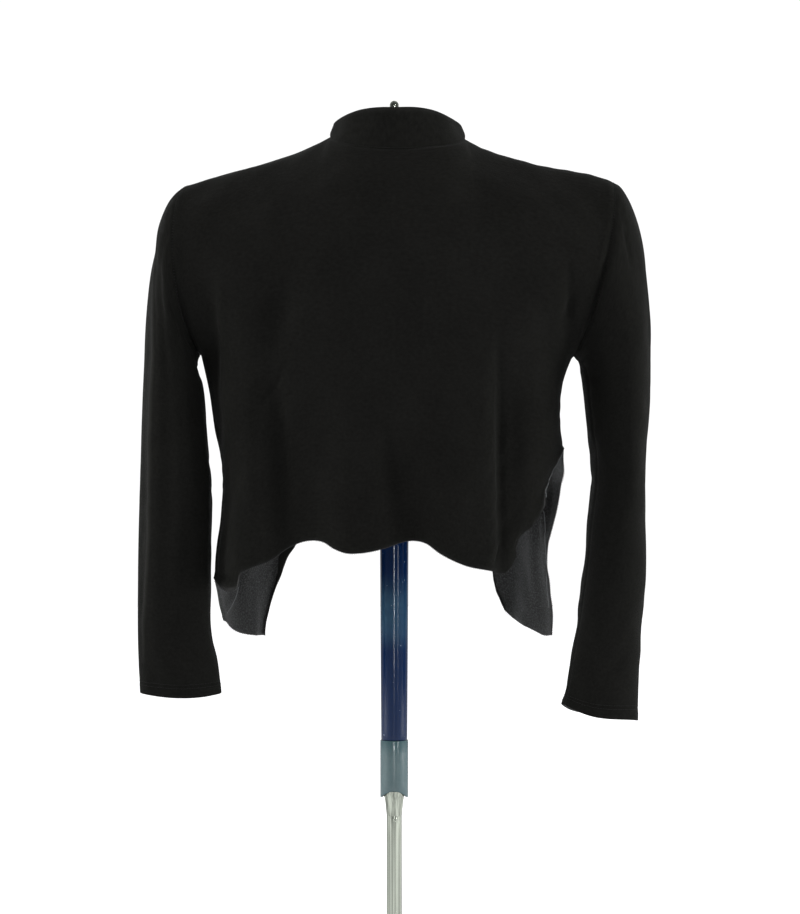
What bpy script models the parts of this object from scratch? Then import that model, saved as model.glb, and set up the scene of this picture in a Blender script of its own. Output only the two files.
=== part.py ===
"""A cropped open-front cardigan hanging on a display stand.

Metres, +Z up. The stand's axis is x = y = 0 and the floor is z = 0. The garment's front
faces -Y, so the wearer's left is +X. The tables below are in millimetres.
"""

import bmesh
import bpy
import numpy as np

MM = 0.001

# Cloth
WALL = 1.7              # jersey with its brushed reverse
SEAM_HALF_GAP = 0.2     # each side of a seam stops this far from the seam line

# How finely each piece is sampled
ARMHOLE_STEPS = 10      # from shoulder tip to armpit, on the front and on the back
SEAM_STEPS = 5          # from armpit to the top of the side slit
SLIT_STEPS = 7          # from the slit's top to the back's hem
LEFT_DROP_STEPS = 3     # how much further the left front hangs
RIGHT_SLIT_STEPS = 9    # the right front, from the slit's top to its hem
SHOULDER_STEPS = 12     # along a shoulder seam
NECK_STEPS = 12         # along the back neckline
SLEEVE_STEPS = 21       # rings down a sleeve
COLLAR_STEPS = 3        # up the collar
COLLAR_DOWN = 7         # rows of a front that the collar runs along
ROUND_STEPS = 28        # sides of a turned piece

# How the cloth hangs
CUFF_DROOP = 3.5        # how far a cuff's back and front hang below its two sides
RIGHT_CUFF_DROOP = 4.6
RIGHT_CUFF_SKEW = 1.1   # the right cuff hangs lower towards its inner side
CUFF_REACH = 1.5        # sections above the cuff that its droop is felt in
ROW_POWER = 2.4         # how square a level section of the body is at its sides
ROW_FLAT_POWER = 2.2    # and where a slit's edge swings back
RIDGE_REACH = 0.30      # how far down the shoulder's rounding is felt, as a share of the height
SIDE_Y = 2.0            # where the side seams run
SLIT_SWING = 60.0       # a slit's edge that has swung this far back no longer turns forward
EVEN_SHARE = 0.6        # how even the columns are; the rest crowd towards the sides
FOLD_START = 0.45       # share of a fold's length over which it deepens
HELD_ABOVE = 500.0      # a fold that ends higher than this is held at both ends
SAME_WAY = 0.3          # edges whose normals agree less than this turn back on each other

# Stand
SEAT_GAP = 0.3          # between a part of the stand and the one that it sits on
BASE_RADIUS = 150.0
BASE_HEIGHT = 6.0
TUBE_RADIUS = 8.0
FLARE_TOP = 166.5
FLARE_BOTTOM = 150.0
FLARE_RADIUS = 11.8
FLARE_NECK_RADIUS = 8.6
FERRULE_TOP = 219.0
FERRULE_RADIUS = 14.6
POST_BOTTOM_RADIUS = 13.6
POST_TOP_RADIUS = 15.2
POST_TAPER_TOP = 480.0  # the post narrows from here down to the ferrule
NECK_ROD_RADIUS = 4.7
NECK_ROD_TOP = 883.5
FORM_CLEARANCE = 0.8    # between the form's top line and the underside of the cloth
FORM_HALF_WIDTH = 200.0
FORM_HALF_HEIGHT = 17.0
FORM_HEIGHT_GAIN = 9.0  # and so much more towards its ends
FORM_HALF_DEPTH = 22.0
FORM_DEPTH_GAIN = 14.0
FORM_NECK_DIP = 14.0    # how far its top dips between the neck points
FORM_DIP_MARGIN = 14.0  # how far outside the neck points the dip starts
FORM_DIP_SLOPE = 1.6
FORM_END = 0.86         # share of its width from which its ends round off
FORM_END_LENGTH = 0.145
FORM_END_DROP = 20.0
FORM_SECTIONS = 12      # on each side of the middle
FORM_SIDES = 20         # points round a section
FORM_ROOF = 0.60        # how steeply the form's top falls away to front and back

# Shoulder seams: x, y, z from the neck point to the shoulder tip
LEFT_SHOULDER = [
    (66.8, -2.0, 846.8), (89.6, -1.0, 834.4), (108.4, 0.0, 826.0), (135.4, 2.0, 817.7),
    (167.6, 3.0, 809.4), (197.8, 4.0, 801.0), (219.6, 4.0, 792.8)]
RIGHT_SHOULDER = [
    (-73.6, -2.0, 844.8), (-90.3, -1.0, 834.4), (-111.0, 0.0, 826.0), (-143.3, 2.0, 817.7),
    (-190.0, 3.0, 809.4), (-214.0, 4.0, 803.5), (-226.5, 4.0, 799.0)]

# Back neckline: x, y, z from the left neck point to the right one
NECKLINE = [
    (66.8, -2.0, 846.8), (62.0, 30.0, 840.0), (47.0, 56.0, 832.0), (24.0, 71.0, 827.0),
    (-3.0, 76.0, 825.5), (-30.0, 71.0, 827.0), (-53.0, 56.0, 831.0), (-68.0, 30.0, 838.5),
    (-73.6, -2.0, 844.8)]

# Side seams and slits: x, y, z from the armpit down
LEFT_SEAM = [
    (202.0, 2.0, 620.6), (196.8, 2.0, 598.0), (191.5, 2.0, 572.0), (188.3, 2.0, 546.0),
    (182.5, 2.0, 520.0)]
LEFT_SLIT = [
    (182.5, 2.0, 520.0), (179.0, 2.0, 494.0), (180.0, 2.0, 468.0), (182.2, 2.0, 442.0),
    (186.2, 2.0, 416.0), (187.4, 3.0, 387.3)]
RIGHT_SEAM = [
    (-186.0, 2.0, 617.0), (-178.5, 2.0, 598.0), (-173.2, 2.0, 572.0), (-173.6, 2.0, 546.0),
    (-175.6, 2.0, 522.0)]
RIGHT_BACK_SLIT = [
    (-175.6, 2.0, 522.0), (-162.5, 18.0, 493.4), (-154.0, 30.0, 472.0), (-139.0, 45.0, 440.5),
    (-126.5, 55.0, 423.0), (-122.8, 58.0, 406.2), (-112.5, 62.0, 394.5)]
RIGHT_FRONT_SLIT = [
    (-175.6, 2.0, 522.0), (-176.6, -2.0, 494.0), (-172.4, -6.0, 468.0), (-166.0, -10.0, 440.0),
    (-160.5, -14.0, 416.0), (-161.0, -16.0, 390.0), (-164.0, -17.0, 364.0), (-165.5, -18.0, 327.0)]
LEFT_FRONT_DROP = [(187.4, 3.0, 387.3), (183.0, -4.0, 365.0), (178.0, -12.0, 343.0)]

# Back hem: x, y, z from the left corner to the right one
BACK_HEM = [
    (187.4, 3.0, 387.3), (179.0, 16.0, 379.0), (168.0, 30.0, 376.0), (160.5, 40.0, 378.5),
    (156.5, 46.0, 394.5), (148.0, 52.0, 399.0), (124.0, 64.0, 409.0), (107.0, 68.0, 421.0),
    (95.0, 68.0, 426.5), (70.0, 77.0, 426.5), (61.7, 80.0, 421.3), (48.0, 82.0, 416.2),
    (34.5, 80.0, 416.2), (9.3, 75.0, 421.3), (-6.0, 72.0, 426.3), (-20.0, 73.0, 428.3),
    (-31.0, 76.0, 426.3), (-46.2, 79.0, 416.1), (-71.5, 80.0, 404.0), (-99.0, 76.0, 397.5),
    (-104.5, 70.0, 394.7), (-112.5, 62.0, 394.5)]

# Front hems: x, y, z from the side to the opening edge
LEFT_FRONT_HEM = [(178.0, -12.0, 343.0), (162.7, -38.0, 328.5), (140.4, -58.0, 324.2)]
RIGHT_FRONT_HEM = [
    (-165.5, -18.0, 327.0), (-157.0, -32.0, 326.0), (-148.5, -43.0, 330.0),
    (-136.0, -52.0, 336.0), (-124.0, -58.0, 343.5), (-116.0, -61.0, 351.0)]

# Opening edges of the fronts: x, y, z from the neck point down
LEFT_OPENING = [
    (66.8, -2.0, 846.8), (70.0, -25.0, 837.0), (76.0, -47.0, 812.0), (84.0, -63.0, 772.0),
    (90.0, -72.0, 715.0), (93.0, -77.0, 640.0), (94.5, -76.0, 560.0), (95.0, -73.0, 480.0),
    (98.5, -68.0, 416.0), (114.4, -66.0, 387.0), (128.2, -64.0, 360.4), (137.8, -60.0, 334.0),
    (140.4, -58.0, 324.2)]
RIGHT_OPENING = [
    (-73.6, -2.0, 844.8), (-76.0, -25.0, 835.5), (-80.0, -47.0, 812.0), (-86.0, -63.0, 772.0),
    (-92.0, -72.0, 715.0), (-97.0, -77.0, 640.0), (-100.0, -76.0, 560.0), (-101.0, -73.0, 480.0),
    (-102.0, -69.0, 410.0), (-106.0, -66.0, 376.0), (-110.0, -64.0, 361.0), (-116.0, -61.0, 351.0)]

# Centre back line: y, z from the neckline to the hem
CENTRE_BACK = [
    (76.0, 825.5), (86.0, 803.0), (95.0, 765.0), (99.0, 715.0), (96.0, 660.0), (88.0, 600.0),
    (80.0, 540.0), (76.0, 480.0), (73.0, 426.5)]

# Sleeve sections: outer x, outer z, inner x, inner z, y middle, half depth, bow.
# The bow pushes the back and the front of a section away from the body.
LEFT_SLEEVE = [
    (219.6, 792.8, 202.0, 620.6, 4.0, 64.0, 12.0),
    (229.0, 782.0, 202.5, 618.6, 4.0, 65.0, 11.0),
    (240.5, 760.0, 203.0, 616.4, 4.0, 66.0, 9.0),
    (247.0, 730.0, 203.2, 613.6, 4.0, 66.0, 7.0),
    (253.6, 702.0, 203.2, 610.2, 4.0, 65.0, 5.0),
    (257.2, 672.0, 202.8, 606.0, 4.0, 63.0, 3.0),
    (259.4, 640.0, 202.0, 599.5, 4.0, 61.0, 2.0),
    (260.8, 605.0, 199.0, 588.0, 3.0, 58.0, 1.0),
    (262.2, 570.0, 196.0, 566.0, 2.0, 55.0, 0.0),
    (263.2, 535.0, 193.2, 534.0, 1.0, 51.0, 0.0),
    (264.2, 495.0, 189.4, 495.0, 0.0, 47.0, 0.0),
    (265.4, 455.0, 188.6, 455.0, -1.0, 43.0, 0.0),
    (266.2, 415.0, 189.4, 415.0, -1.0, 39.0, 0.0),
    (266.6, 375.0, 190.0, 375.0, -2.0, 35.0, 0.0),
    (266.6, 335.0, 189.4, 335.0, -2.0, 31.0, 0.0),
    (265.6, 300.0, 184.6, 300.0, -2.0, 27.0, 0.0),
    (263.6, 268.5, 181.4, 267.5, -2.0, 24.0, 0.0)]
RIGHT_SLEEVE = [
    (-226.5, 799.0, -186.0, 617.0, 4.0, 66.0, -8.0),
    (-238.0, 788.5, -188.0, 615.5, 4.0, 67.0, -7.0),
    (-249.0, 765.0, -190.0, 614.0, 4.0, 67.0, -5.0),
    (-256.5, 735.0, -191.5, 612.0, 4.0, 66.0, -4.0),
    (-260.6, 702.0, -192.8, 609.0, 4.0, 65.0, -3.0),
    (-262.2, 670.0, -193.8, 604.5, 4.0, 63.0, -2.0),
    (-263.4, 636.0, -194.8, 597.0, 4.0, 61.0, -1.0),
    (-264.2, 600.0, -196.6, 584.0, 3.0, 58.0, 0.0),
    (-264.0, 560.0, -199.4, 556.0, 2.0, 54.0, 0.0),
    (-261.0, 522.0, -203.6, 520.0, 1.0, 50.0, 0.0),
    (-260.2, 486.0, -205.2, 488.0, 0.0, 47.0, 0.0),
    (-261.4, 450.0, -202.4, 452.0, -1.0, 44.0, 0.0),
    (-262.2, 412.0, -198.6, 414.0, -1.0, 40.0, 0.0),
    (-260.4, 373.0, -193.8, 374.0, -2.0, 37.0, 0.0),
    (-257.4, 332.0, -188.0, 332.0, -2.0, 33.0, 0.0),
    (-254.8, 288.0, -181.2, 291.0, -2.0, 28.0, 0.0),
    (-254.2, 238.5, -174.2, 257.0, -2.0, 24.0, 0.0)]

# Folds of the back: x and z at the upper end, x and z at the lower end, reach towards +X,
# reach towards -X, depth. A negative depth is a ridge.
BACK_FOLDS = [
    (131.0, 600.0, 104.0, 420.0, 20.0, 16.0, 12.0),
    (166.0, 655.0, 163.0, 405.0, 17.0, 17.0, -5.0),
    (193.0, 700.0, 184.0, 530.0, 14.0, 12.0, 6.0),
    (112.0, 592.0, 146.0, 552.0, 11.0, 11.0, 5.0),
    (104.0, 715.0, 130.0, 580.0, 22.0, 18.0, 5.0),
    (8.0, 560.0, -20.0, 424.0, 24.0, 26.0, 9.0),
    (-107.0, 650.0, -112.0, 400.0, 9.0, 26.0, 13.0),
    (-177.0, 700.0, -178.0, 615.0, 8.0, 9.0, 5.0),
    (60.0, 520.0, 52.0, 415.0, 20.0, 20.0, -4.0),
    (-66.0, 600.0, -74.0, 402.0, 24.0, 24.0, -4.0)]

# Folds of the fronts, in the same columns
LEFT_FRONT_FOLDS = [
    (150.0, 640.0, 156.0, 336.0, 13.0, 13.0, 8.0),
    (122.0, 600.0, 128.0, 330.0, 10.0, 12.0, -6.0)]
RIGHT_FRONT_FOLDS = [
    (-146.0, 650.0, -146.0, 330.0, 13.0, 12.0, 8.0),
    (-118.0, 590.0, -124.0, 350.0, 11.0, 10.0, -5.0)]

# Folds of the sleeves: angle round the sleeve in degrees (0 outer side, 90 back, 180 inner
# side, 270 front), spread in degrees, first and last section, depth
LEFT_SLEEVE_FOLDS = [
    (48.0, 16.0, 4.0, 15.0, -3.5),
    (104.0, 34.0, 2.0, 9.5, 6.0),
    (300.0, 26.0, 3.0, 12.0, 5.0)]
RIGHT_SLEEVE_FOLDS = [
    (62.0, 20.0, 0.6, 5.0, 4.0),
    (128.0, 28.0, 3.0, 11.0, 4.0),
    (296.0, 26.0, 4.0, 13.0, 5.0)]

# Collar: how far it stands from its seam at each station, and the way it leans (x towards
# the neck, y, z). The stations go from centre back to the collar's lower end.
COLLAR_STATIONS = [
    (0.000, 42.6, 0.00, -0.22, 1.0),
    (0.077, 42.2, 0.02, -0.22, 1.0),
    (0.154, 38.5, 0.07, -0.22, 1.0),
    (0.230, 31.5, 0.13, -0.20, 1.0),
    (0.308, 24.5, 0.22, -0.18, 1.0),
    (0.385, 19.5, 0.30, -0.18, 1.0),
    (0.460, 16.0, 0.42, -0.22, 0.92),
    (0.540, 15.0, 0.78, -0.30, 0.58),
    (0.620, 15.0, 0.95, -0.35, 0.2),
    (0.800, 16.0, 0.98, -0.30, 0.0),
    (1.000, 7.0, 0.98, -0.25, 0.0)]


def curve_through(points, fractions):
    """Points on a smooth curve through the given ones, at shares of its length."""
    p = np.asarray(points, float)
    knots = np.concatenate([[0.0], np.cumsum(np.linalg.norm(np.diff(p, axis=0), axis=1))])
    slopes = np.gradient(p, knots, axis=0)
    at = np.asarray(fractions, float) * knots[-1]
    i = np.clip(np.searchsorted(knots, at, side="right") - 1, 0, len(p) - 2)
    span = (knots[i + 1] - knots[i])[:, None]
    u = (at - knots[i])[:, None] / span
    return ((2 * u**3 - 3 * u**2 + 1) * p[i] + (u**3 - 2 * u**2 + u) * span * slopes[i]
            + (3 * u**2 - 2 * u**3) * p[i + 1] + (u**3 - u**2) * span * slopes[i + 1])


def curve_at(points, axis, values):
    """Points on the same smooth curve, where one coordinate has the given values."""
    fractions = np.linspace(0.0, 1.0, 600)
    found = curve_through(points, fractions)[:, axis]
    if found[-1] < found[0]:
        found, fractions = found[::-1], fractions[::-1]
    found = np.maximum.accumulate(found)
    return curve_through(points, np.interp(values, found, fractions))


def even(points, steps):
    """Evenly spaced points along a smooth curve."""
    return curve_through(points, np.linspace(0.0, 1.0, steps + 1))


def unit(vectors):
    """Vectors made one long."""
    length = np.linalg.norm(vectors, axis=-1, keepdims=True)
    return vectors / np.maximum(length, 1e-9)


def curve_column(values, at):
    """A table's column, read smoothly between its rows."""
    rows = np.arange(len(values))
    slopes = np.gradient(values)
    i = np.clip(at.astype(int), 0, len(values) - 2)
    u = at - rows[i]
    return ((2 * u**3 - 3 * u**2 + 1) * values[i] + (u**3 - 2 * u**2 + u) * slopes[i]
            + (3 * u**2 - 2 * u**3) * values[i + 1] + (u**3 - u**2) * slopes[i + 1])


def sleeve_rings(sections, folds, droop_depth, skew=0.0):
    """Rings down a sleeve, from the armhole to the cuff. Each runs from the outer side over
    the back to the inner side and on over the front."""
    table = np.asarray(sections, float)
    last = len(table) - 1
    at = np.linspace(0.0, last, SLEEVE_STEPS + 1)
    columns = [curve_column(table[:, c], at) for c in range(table.shape[1])]
    outer_x, outer_z, inner_x, inner_z, middle_y, depth, bow = columns
    angle = np.linspace(0.0, 2.0 * np.pi, 2 * ARMHOLE_STEPS + 1)[:-1]
    c, s = np.cos(angle)[None, :], np.sin(angle)[None, :]
    mid_x, mid_z = (outer_x + inner_x)[:, None] / 2, (outer_z + inner_z)[:, None] / 2
    half_x, half_z = (outer_x - inner_x)[:, None] / 2, (outer_z - inner_z)[:, None] / 2
    rings = np.stack([mid_x + half_x * c + bow[:, None] * s**2,
                      middle_y[:, None] + depth[:, None] * s,
                      mid_z + half_z * c], axis=-1)
    centre = np.stack([mid_x, middle_y[:, None], mid_z], axis=-1)
    inward = unit(centre - rings)
    for degrees, spread, first, final, fold_depth in folds:
        turn = np.degrees(angle)[None, :] - degrees
        turn = (turn + 180.0) % 360.0 - 180.0
        across = np.exp(-(turn / spread)**2)
        along = np.sin(np.pi * np.clip((at - first) / (final - first), 0.0, 1.0))**0.8
        rings = rings + inward * (fold_depth * across * along[:, None])[..., None]
    droop = droop_depth * np.clip((at - last + CUFF_REACH) / CUFF_REACH, 0.0, 1.0)
    rings[..., 2] -= droop[:, None] * s**2 * (1.0 - skew * c)
    return rings


def half_row(end, centre, share, roundness):
    """A row of the body from its middle line (share 0) to its side (share 1)."""
    share = np.abs(share)
    flat = 1.0 - share**ROW_FLAT_POWER
    round_ = (1.0 - share**ROW_POWER)**(1.0 / ROW_POWER)
    lift = (1.0 - roundness) * flat + roundness * round_
    x = centre[0] + (end[0] - centre[0]) * share
    y = end[1] + (centre[1] - end[1]) * lift
    z = end[2] + (centre[2] - end[2]) * (1.0 - share**2)
    return np.stack([x, y, z], axis=-1)


def spacing(steps):
    """Shares from 1 at the side to 0 at the middle line, closer together at the side."""
    s = np.linspace(0.0, 1.0, steps + 1)
    return EVEN_SHARE * (1.0 - s) + (1.0 - EVEN_SHARE) * np.cos(np.pi * s / 2.0)


def side_roundness(side):
    """How far a row's side turns forward: none above the armhole's middle, full at the seam,
    less where a slit's edge swings back."""
    round_ = 1.0 - np.clip(np.abs(side[:, 1] - SIDE_Y) / SLIT_SWING, 0.0, 1.0)
    round_[:ARMHOLE_STEPS // 2 + 1] = 0.0
    return round_


def drop_shares(side):
    """How far down each row is, as a share of the side's height."""
    return (side[0, 2] - side[:, 2]) / (side[0, 2] - side[-1, 2])


def ridge_weight(drop):
    """The shoulder's rounding: the top edge's pull on the rows below it."""
    return 1.0 - np.sqrt(1.0 - (1.0 - np.clip(drop / RIDGE_REACH, 0.0, 1.0))**2)


def fit_edges(grid, drop, top, bottom):
    """Move a panel's rows so that the first and the last lie on the given edges."""
    up = ridge_weight(drop)[:, None, None] * (top - grid[0])[None]
    down = (drop**3)[:, None, None] * (bottom - grid[-1])[None]
    return grid + up + down


def relax(grid, passes=4):
    """Even out the inner points of a panel a little, and leave its edges and ridge alone."""
    for _ in range(passes):
        mean = (grid[1:-3, 1:-1] + grid[3:-1, 1:-1] + grid[2:-2, :-2] + grid[2:-2, 2:]) / 4.0
        grid[2:-2, 1:-1] = 0.6 * grid[2:-2, 1:-1] + 0.4 * mean
    return grid


def surface_normals(grid, closed=False):
    """Unit normals of a grid of points, pointing away from the first axis's left side."""
    along = np.gradient(grid, axis=0)
    if closed:
        wrapped = np.concatenate([grid[:, -1:], grid, grid[:, :1]], axis=1)
        across = (wrapped[:, 2:] - wrapped[:, :-2]) / 2.0
    else:
        across = np.gradient(grid, axis=1)
    return unit(np.cross(along, across))


def add_folds(grid, normals, folds):
    """Soft troughs along slanting lines, deeper towards their lower ends."""
    x, z = grid[..., 0], grid[..., 2]
    depth = np.zeros(x.shape)
    for x_top, z_top, x_low, z_low, reach_plus, reach_minus, fold_depth in folds:
        down = np.clip((z_top - z) / (z_top - z_low), -0.5, 1.3)
        off = x - (x_top + (x_low - x_top) * np.clip(down, 0.0, 1.0))
        reach = np.where(off > 0.0, reach_plus, reach_minus)
        start = np.clip(down / FOLD_START, 0.0, 1.0)
        fade = start**2 * (3.0 - 2.0 * start)
        if z_low > HELD_ABOVE:
            fade = np.sin(np.pi * np.clip(down, 0.0, 1.0))
        depth = depth + fold_depth * fade * np.exp(-(off / reach)**2)
    hold = edge_hold(grid.shape[0], grid.shape[1])
    return grid - normals * (depth * hold)[..., None]


def edge_hold(rows, columns):
    """Nought at the seams, so that the folds leave them where they are, and one inside."""
    j = np.arange(rows)[:, None]
    i = np.arange(columns)[None, :]
    from_top = np.clip(j / 4.0, 0.0, 1.0)
    from_sides = np.clip(np.minimum(i, columns - 1 - i) / 3.0, 0.0, 1.0)
    return from_top * from_sides


def back_grid(left_ring, right_ring):
    """The back panel: rows from shoulder to hem, columns from left to right."""
    left = np.vstack([left_ring[:ARMHOLE_STEPS + 1],
                      even(LEFT_SEAM, SEAM_STEPS)[1:], even(LEFT_SLIT, SLIT_STEPS)[1:]])
    right = np.vstack([right_ring[:ARMHOLE_STEPS + 1],
                       even(RIGHT_SEAM, SEAM_STEPS)[1:], even(RIGHT_BACK_SLIT, SLIT_STEPS)[1:]])
    drop = (drop_shares(left) + drop_shares(right)) / 2.0
    middle_z = CENTRE_BACK[0][1] + (CENTRE_BACK[-1][1] - CENTRE_BACK[0][1]) * drop
    spine = curve_at([(NECKLINE[4][0], y, z) for y, z in CENTRE_BACK], 2, middle_z)
    share = spacing(SHOULDER_STEPS + NECK_STEPS // 2)
    turns = (side_roundness(left), side_roundness(right))
    rows = []
    for j in range(len(left)):
        one = half_row(left[j], spine[j], share, turns[0][j])
        other = half_row(right[j], spine[j], share, turns[1][j])
        rows.append(np.vstack([one, other[::-1][1:]]))
    grid = np.array(rows)
    top = np.vstack([even(LEFT_SHOULDER, SHOULDER_STEPS)[::-1],
                     even(NECKLINE, NECK_STEPS)[1:],
                     even(RIGHT_SHOULDER, SHOULDER_STEPS)[1:]])
    bottom = curve_at(BACK_HEM, 0, grid[-1, :, 0])
    bottom[0], bottom[-1] = grid[-1, 0], grid[-1, -1]
    grid = relax(fit_edges(grid, drop, top, bottom))
    normals = surface_normals(grid)
    return add_folds(grid, normals, BACK_FOLDS)


def front_grid(ring, seam, own_edge, own_steps, shared_steps, opening, hem, shoulder, folds):
    """A front panel: rows from shoulder to hem, columns from the side to the opening edge."""
    front_half = np.roll(ring[::-1], 1, axis=0)[:ARMHOLE_STEPS + 1]
    side = np.vstack([front_half, even(seam, SEAM_STEPS)[1:]] + shared_steps
                     + [even(own_edge, own_steps)[1:]])
    drop = drop_shares(side)
    edge_z = opening[0][2] + (opening[-1][2] - opening[0][2]) * drop
    edge = curve_at(opening, 2, edge_z)
    share = spacing(SHOULDER_STEPS)
    turn = side_roundness(side)
    grid = np.array([half_row(side[j], edge[j], share, turn[j]) for j in range(len(side))])
    top = even(shoulder, SHOULDER_STEPS)[::-1]
    fractions = 1.0 - (share * 0.5 + np.linspace(1.0, 0.0, SHOULDER_STEPS + 1) * 0.5)
    bottom = curve_through(hem, fractions)
    grid = relax(fit_edges(grid, drop, top, bottom))
    normals = surface_normals(grid)
    if normals[ARMHOLE_STEPS, SHOULDER_STEPS // 2, 1] > 0.0:
        normals = -normals
    return add_folds(grid, normals, folds)


def collar_grid(seam, left_reach):
    """The collar: columns along its seam from left to right, rows away from the seam."""
    table = np.asarray(COLLAR_STATIONS, float)
    count = len(seam)
    station = np.abs(np.arange(count) - left_reach - NECK_STEPS / 2.0)
    station = station / (NECK_STEPS / 2.0 + COLLAR_DOWN)
    height, lean_x, lean_y, lean_z = [np.interp(station, table[:, 0], table[:, c])
                                      for c in range(1, 5)]
    side = np.sign(seam[:, 0] - NECKLINE[4][0])
    lean = unit(np.stack([-lean_x * side, lean_y, lean_z], axis=-1))
    shares = np.linspace(0.0, 1.0, COLLAR_STEPS + 1)
    return np.array([seam + lean * (height * share)[:, None] for share in shares])


def share_normals(one, other):
    """Give two edges that meet the same normals, unless the cloth turns back there."""
    together = np.sum(one * other, axis=-1, keepdims=True) > SAME_WAY
    mean = unit(one + other)
    return np.where(together, mean, one), np.where(together, mean, other)


def pull_in(grid, edge):
    """Stop a piece short of a seam line along one edge of its grid."""
    if edge == "top":
        grid[0] += unit(grid[1] - grid[0]) * SEAM_HALF_GAP
    elif edge == "left":
        grid[:, 0] += unit(grid[:, 1] - grid[:, 0]) * SEAM_HALF_GAP
    elif edge == "right":
        grid[:, -1] += unit(grid[:, -2] - grid[:, -1]) * SEAM_HALF_GAP


def cloth_wall(name, grid, normals, material, closed=False):
    """A piece of cloth: the outer points, the inner ones a wall's thickness in, and rims."""
    rows, columns = grid.shape[:2]
    outer = grid.reshape(-1, 3)
    inner = (grid - normals * WALL).reshape(-1, 3)
    bm = bmesh.new()
    verts = [bm.verts.new(point * MM) for point in np.vstack([outer, inner])]
    base = rows * columns

    def at(j, i, side=0):
        return verts[side * base + j * columns + i % columns]

    spans = columns if closed else columns - 1
    for j in range(rows - 1):
        for i in range(spans):
            bm.faces.new((at(j, i), at(j, i + 1), at(j + 1, i + 1), at(j + 1, i)))
            bm.faces.new((at(j, i, 1), at(j + 1, i, 1), at(j + 1, i + 1, 1), at(j, i + 1, 1)))
    for i in range(spans):
        for j in (0, rows - 1):
            bm.faces.new((at(j, i), at(j, i, 1), at(j, i + 1, 1), at(j, i + 1)))
    if not closed:
        for j in range(rows - 1):
            for i in (0, columns - 1):
                bm.faces.new((at(j, i), at(j + 1, i), at(j + 1, i, 1), at(j, i, 1)))
    bmesh.ops.recalc_face_normals(bm, faces=bm.faces[:])
    mesh = bpy.data.meshes.new(name)
    bm.to_mesh(mesh)
    bm.free()
    return place(name, mesh, material)


def place(name, mesh, material):
    """Put a mesh in the part's collection as a smooth-shaded object."""
    mesh.shade_smooth()
    mesh.materials.append(material)
    piece = bpy.data.objects.new(name, mesh)
    bpy.data.collections["cardigan_on_stand"].objects.link(piece)
    return piece


def turned(name, profile, material, steps=ROUND_STEPS):
    """A turned piece: a closed profile of (radius, height), top to bottom, screwed round z."""
    mesh = bpy.data.meshes.new(name)
    points = [(radius * MM, 0.0, height * MM) for radius, height in profile]
    mesh.from_pydata(points, [(i, i + 1) for i in range(len(points) - 1)], [])
    piece = place(name, mesh, material)
    screw = piece.modifiers.new("turn", "SCREW")
    screw.axis = "Z"
    screw.steps = steps
    screw.render_steps = steps
    screw.use_merge_vertices = True
    screw.merge_threshold = 0.00001
    screw.use_smooth_shade = True
    return piece


def arc(centre_r, centre_z, radius, start, end, steps=4):
    """Points of a rounded corner of a profile, angles in degrees from the level."""
    angles = np.radians(np.linspace(start, end, steps + 1))
    return [(centre_r + radius * np.cos(a), centre_z + radius * np.sin(a)) for a in angles]


def material(name, colour, roughness, metallic=0.0):
    """A plain Principled material."""
    made = bpy.data.materials.new(name)
    made.use_nodes = True
    shader = made.node_tree.nodes["Principled BSDF"]
    shader.inputs["Base Color"].default_value = (*colour, 1.0)
    shader.inputs["Roughness"].default_value = roughness
    shader.inputs["Metallic"].default_value = metallic
    return made


def form_profile():
    """Stations along the shoulder form: x, the top line's height, and how far each station is
    from being closed off by the rounded end (1 open, 0 closed)."""
    half = np.linspace(0.0, 1.0, FORM_SECTIONS)
    reach = FORM_HALF_WIDTH * np.sin(np.pi / 2.0 * half)
    xs = np.concatenate([-reach[::-1], reach[1:]])
    left = curve_at(LEFT_SHOULDER, 0, np.abs(xs))[:, 2]
    right = curve_at(RIGHT_SHOULDER, 0, -np.abs(xs))[:, 2]
    dip_edge = abs(LEFT_SHOULDER[0][0]) + FORM_DIP_MARGIN
    dip = FORM_NECK_DIP * np.clip(FORM_DIP_SLOPE * (1.0 - np.abs(xs) / dip_edge), 0.0, 1.0)
    top = np.minimum(left, right) - WALL - FORM_CLEARANCE - dip
    past = np.clip(np.abs(xs) / FORM_HALF_WIDTH - FORM_END, 0.0, 1.0) / FORM_END_LENGTH
    end = np.sqrt(np.clip(1.0 - past**2, 0.0, 1.0))
    return xs, top - FORM_END_DROP * (1.0 - end), end


def shoulder_form(plastic):
    """The form that the shoulders hang on: oval sections along x under the shoulder seams,
    with a roof-shaped top that keeps clear of the cloth."""
    angle = np.linspace(0.0, 2.0 * np.pi, FORM_SIDES + 1)[:-1]
    roof = FORM_ROOF * np.abs(np.sin(angle)) * np.sqrt(np.clip(np.cos(angle), 0.0, 1.0))
    bm = bmesh.new()
    rings = []
    for x, top, end in zip(*form_profile()):
        out = (x / FORM_HALF_WIDTH)**2
        depth = (FORM_HALF_DEPTH + FORM_DEPTH_GAIN * out) * end
        height = (FORM_HALF_HEIGHT + FORM_HEIGHT_GAIN * out) * end
        y = depth * np.sin(angle)
        z = top - height - depth * roof + height * np.cos(angle)
        rings.append([bm.verts.new((x * MM, y[i] * MM, z[i] * MM)) for i in range(len(angle))])
    for ring, after in zip(rings, rings[1:]):
        for i in range(len(angle)):
            k = (i + 1) % len(angle)
            bm.faces.new((ring[i], ring[k], after[k], after[i]))
    bm.faces.new(rings[0])
    bm.faces.new(rings[-1][::-1])
    bmesh.ops.recalc_face_normals(bm, faces=bm.faces[:])
    mesh = bpy.data.meshes.new("shoulder_form")
    bm.to_mesh(mesh)
    bm.free()
    return place("shoulder_form", mesh, plastic)


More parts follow.
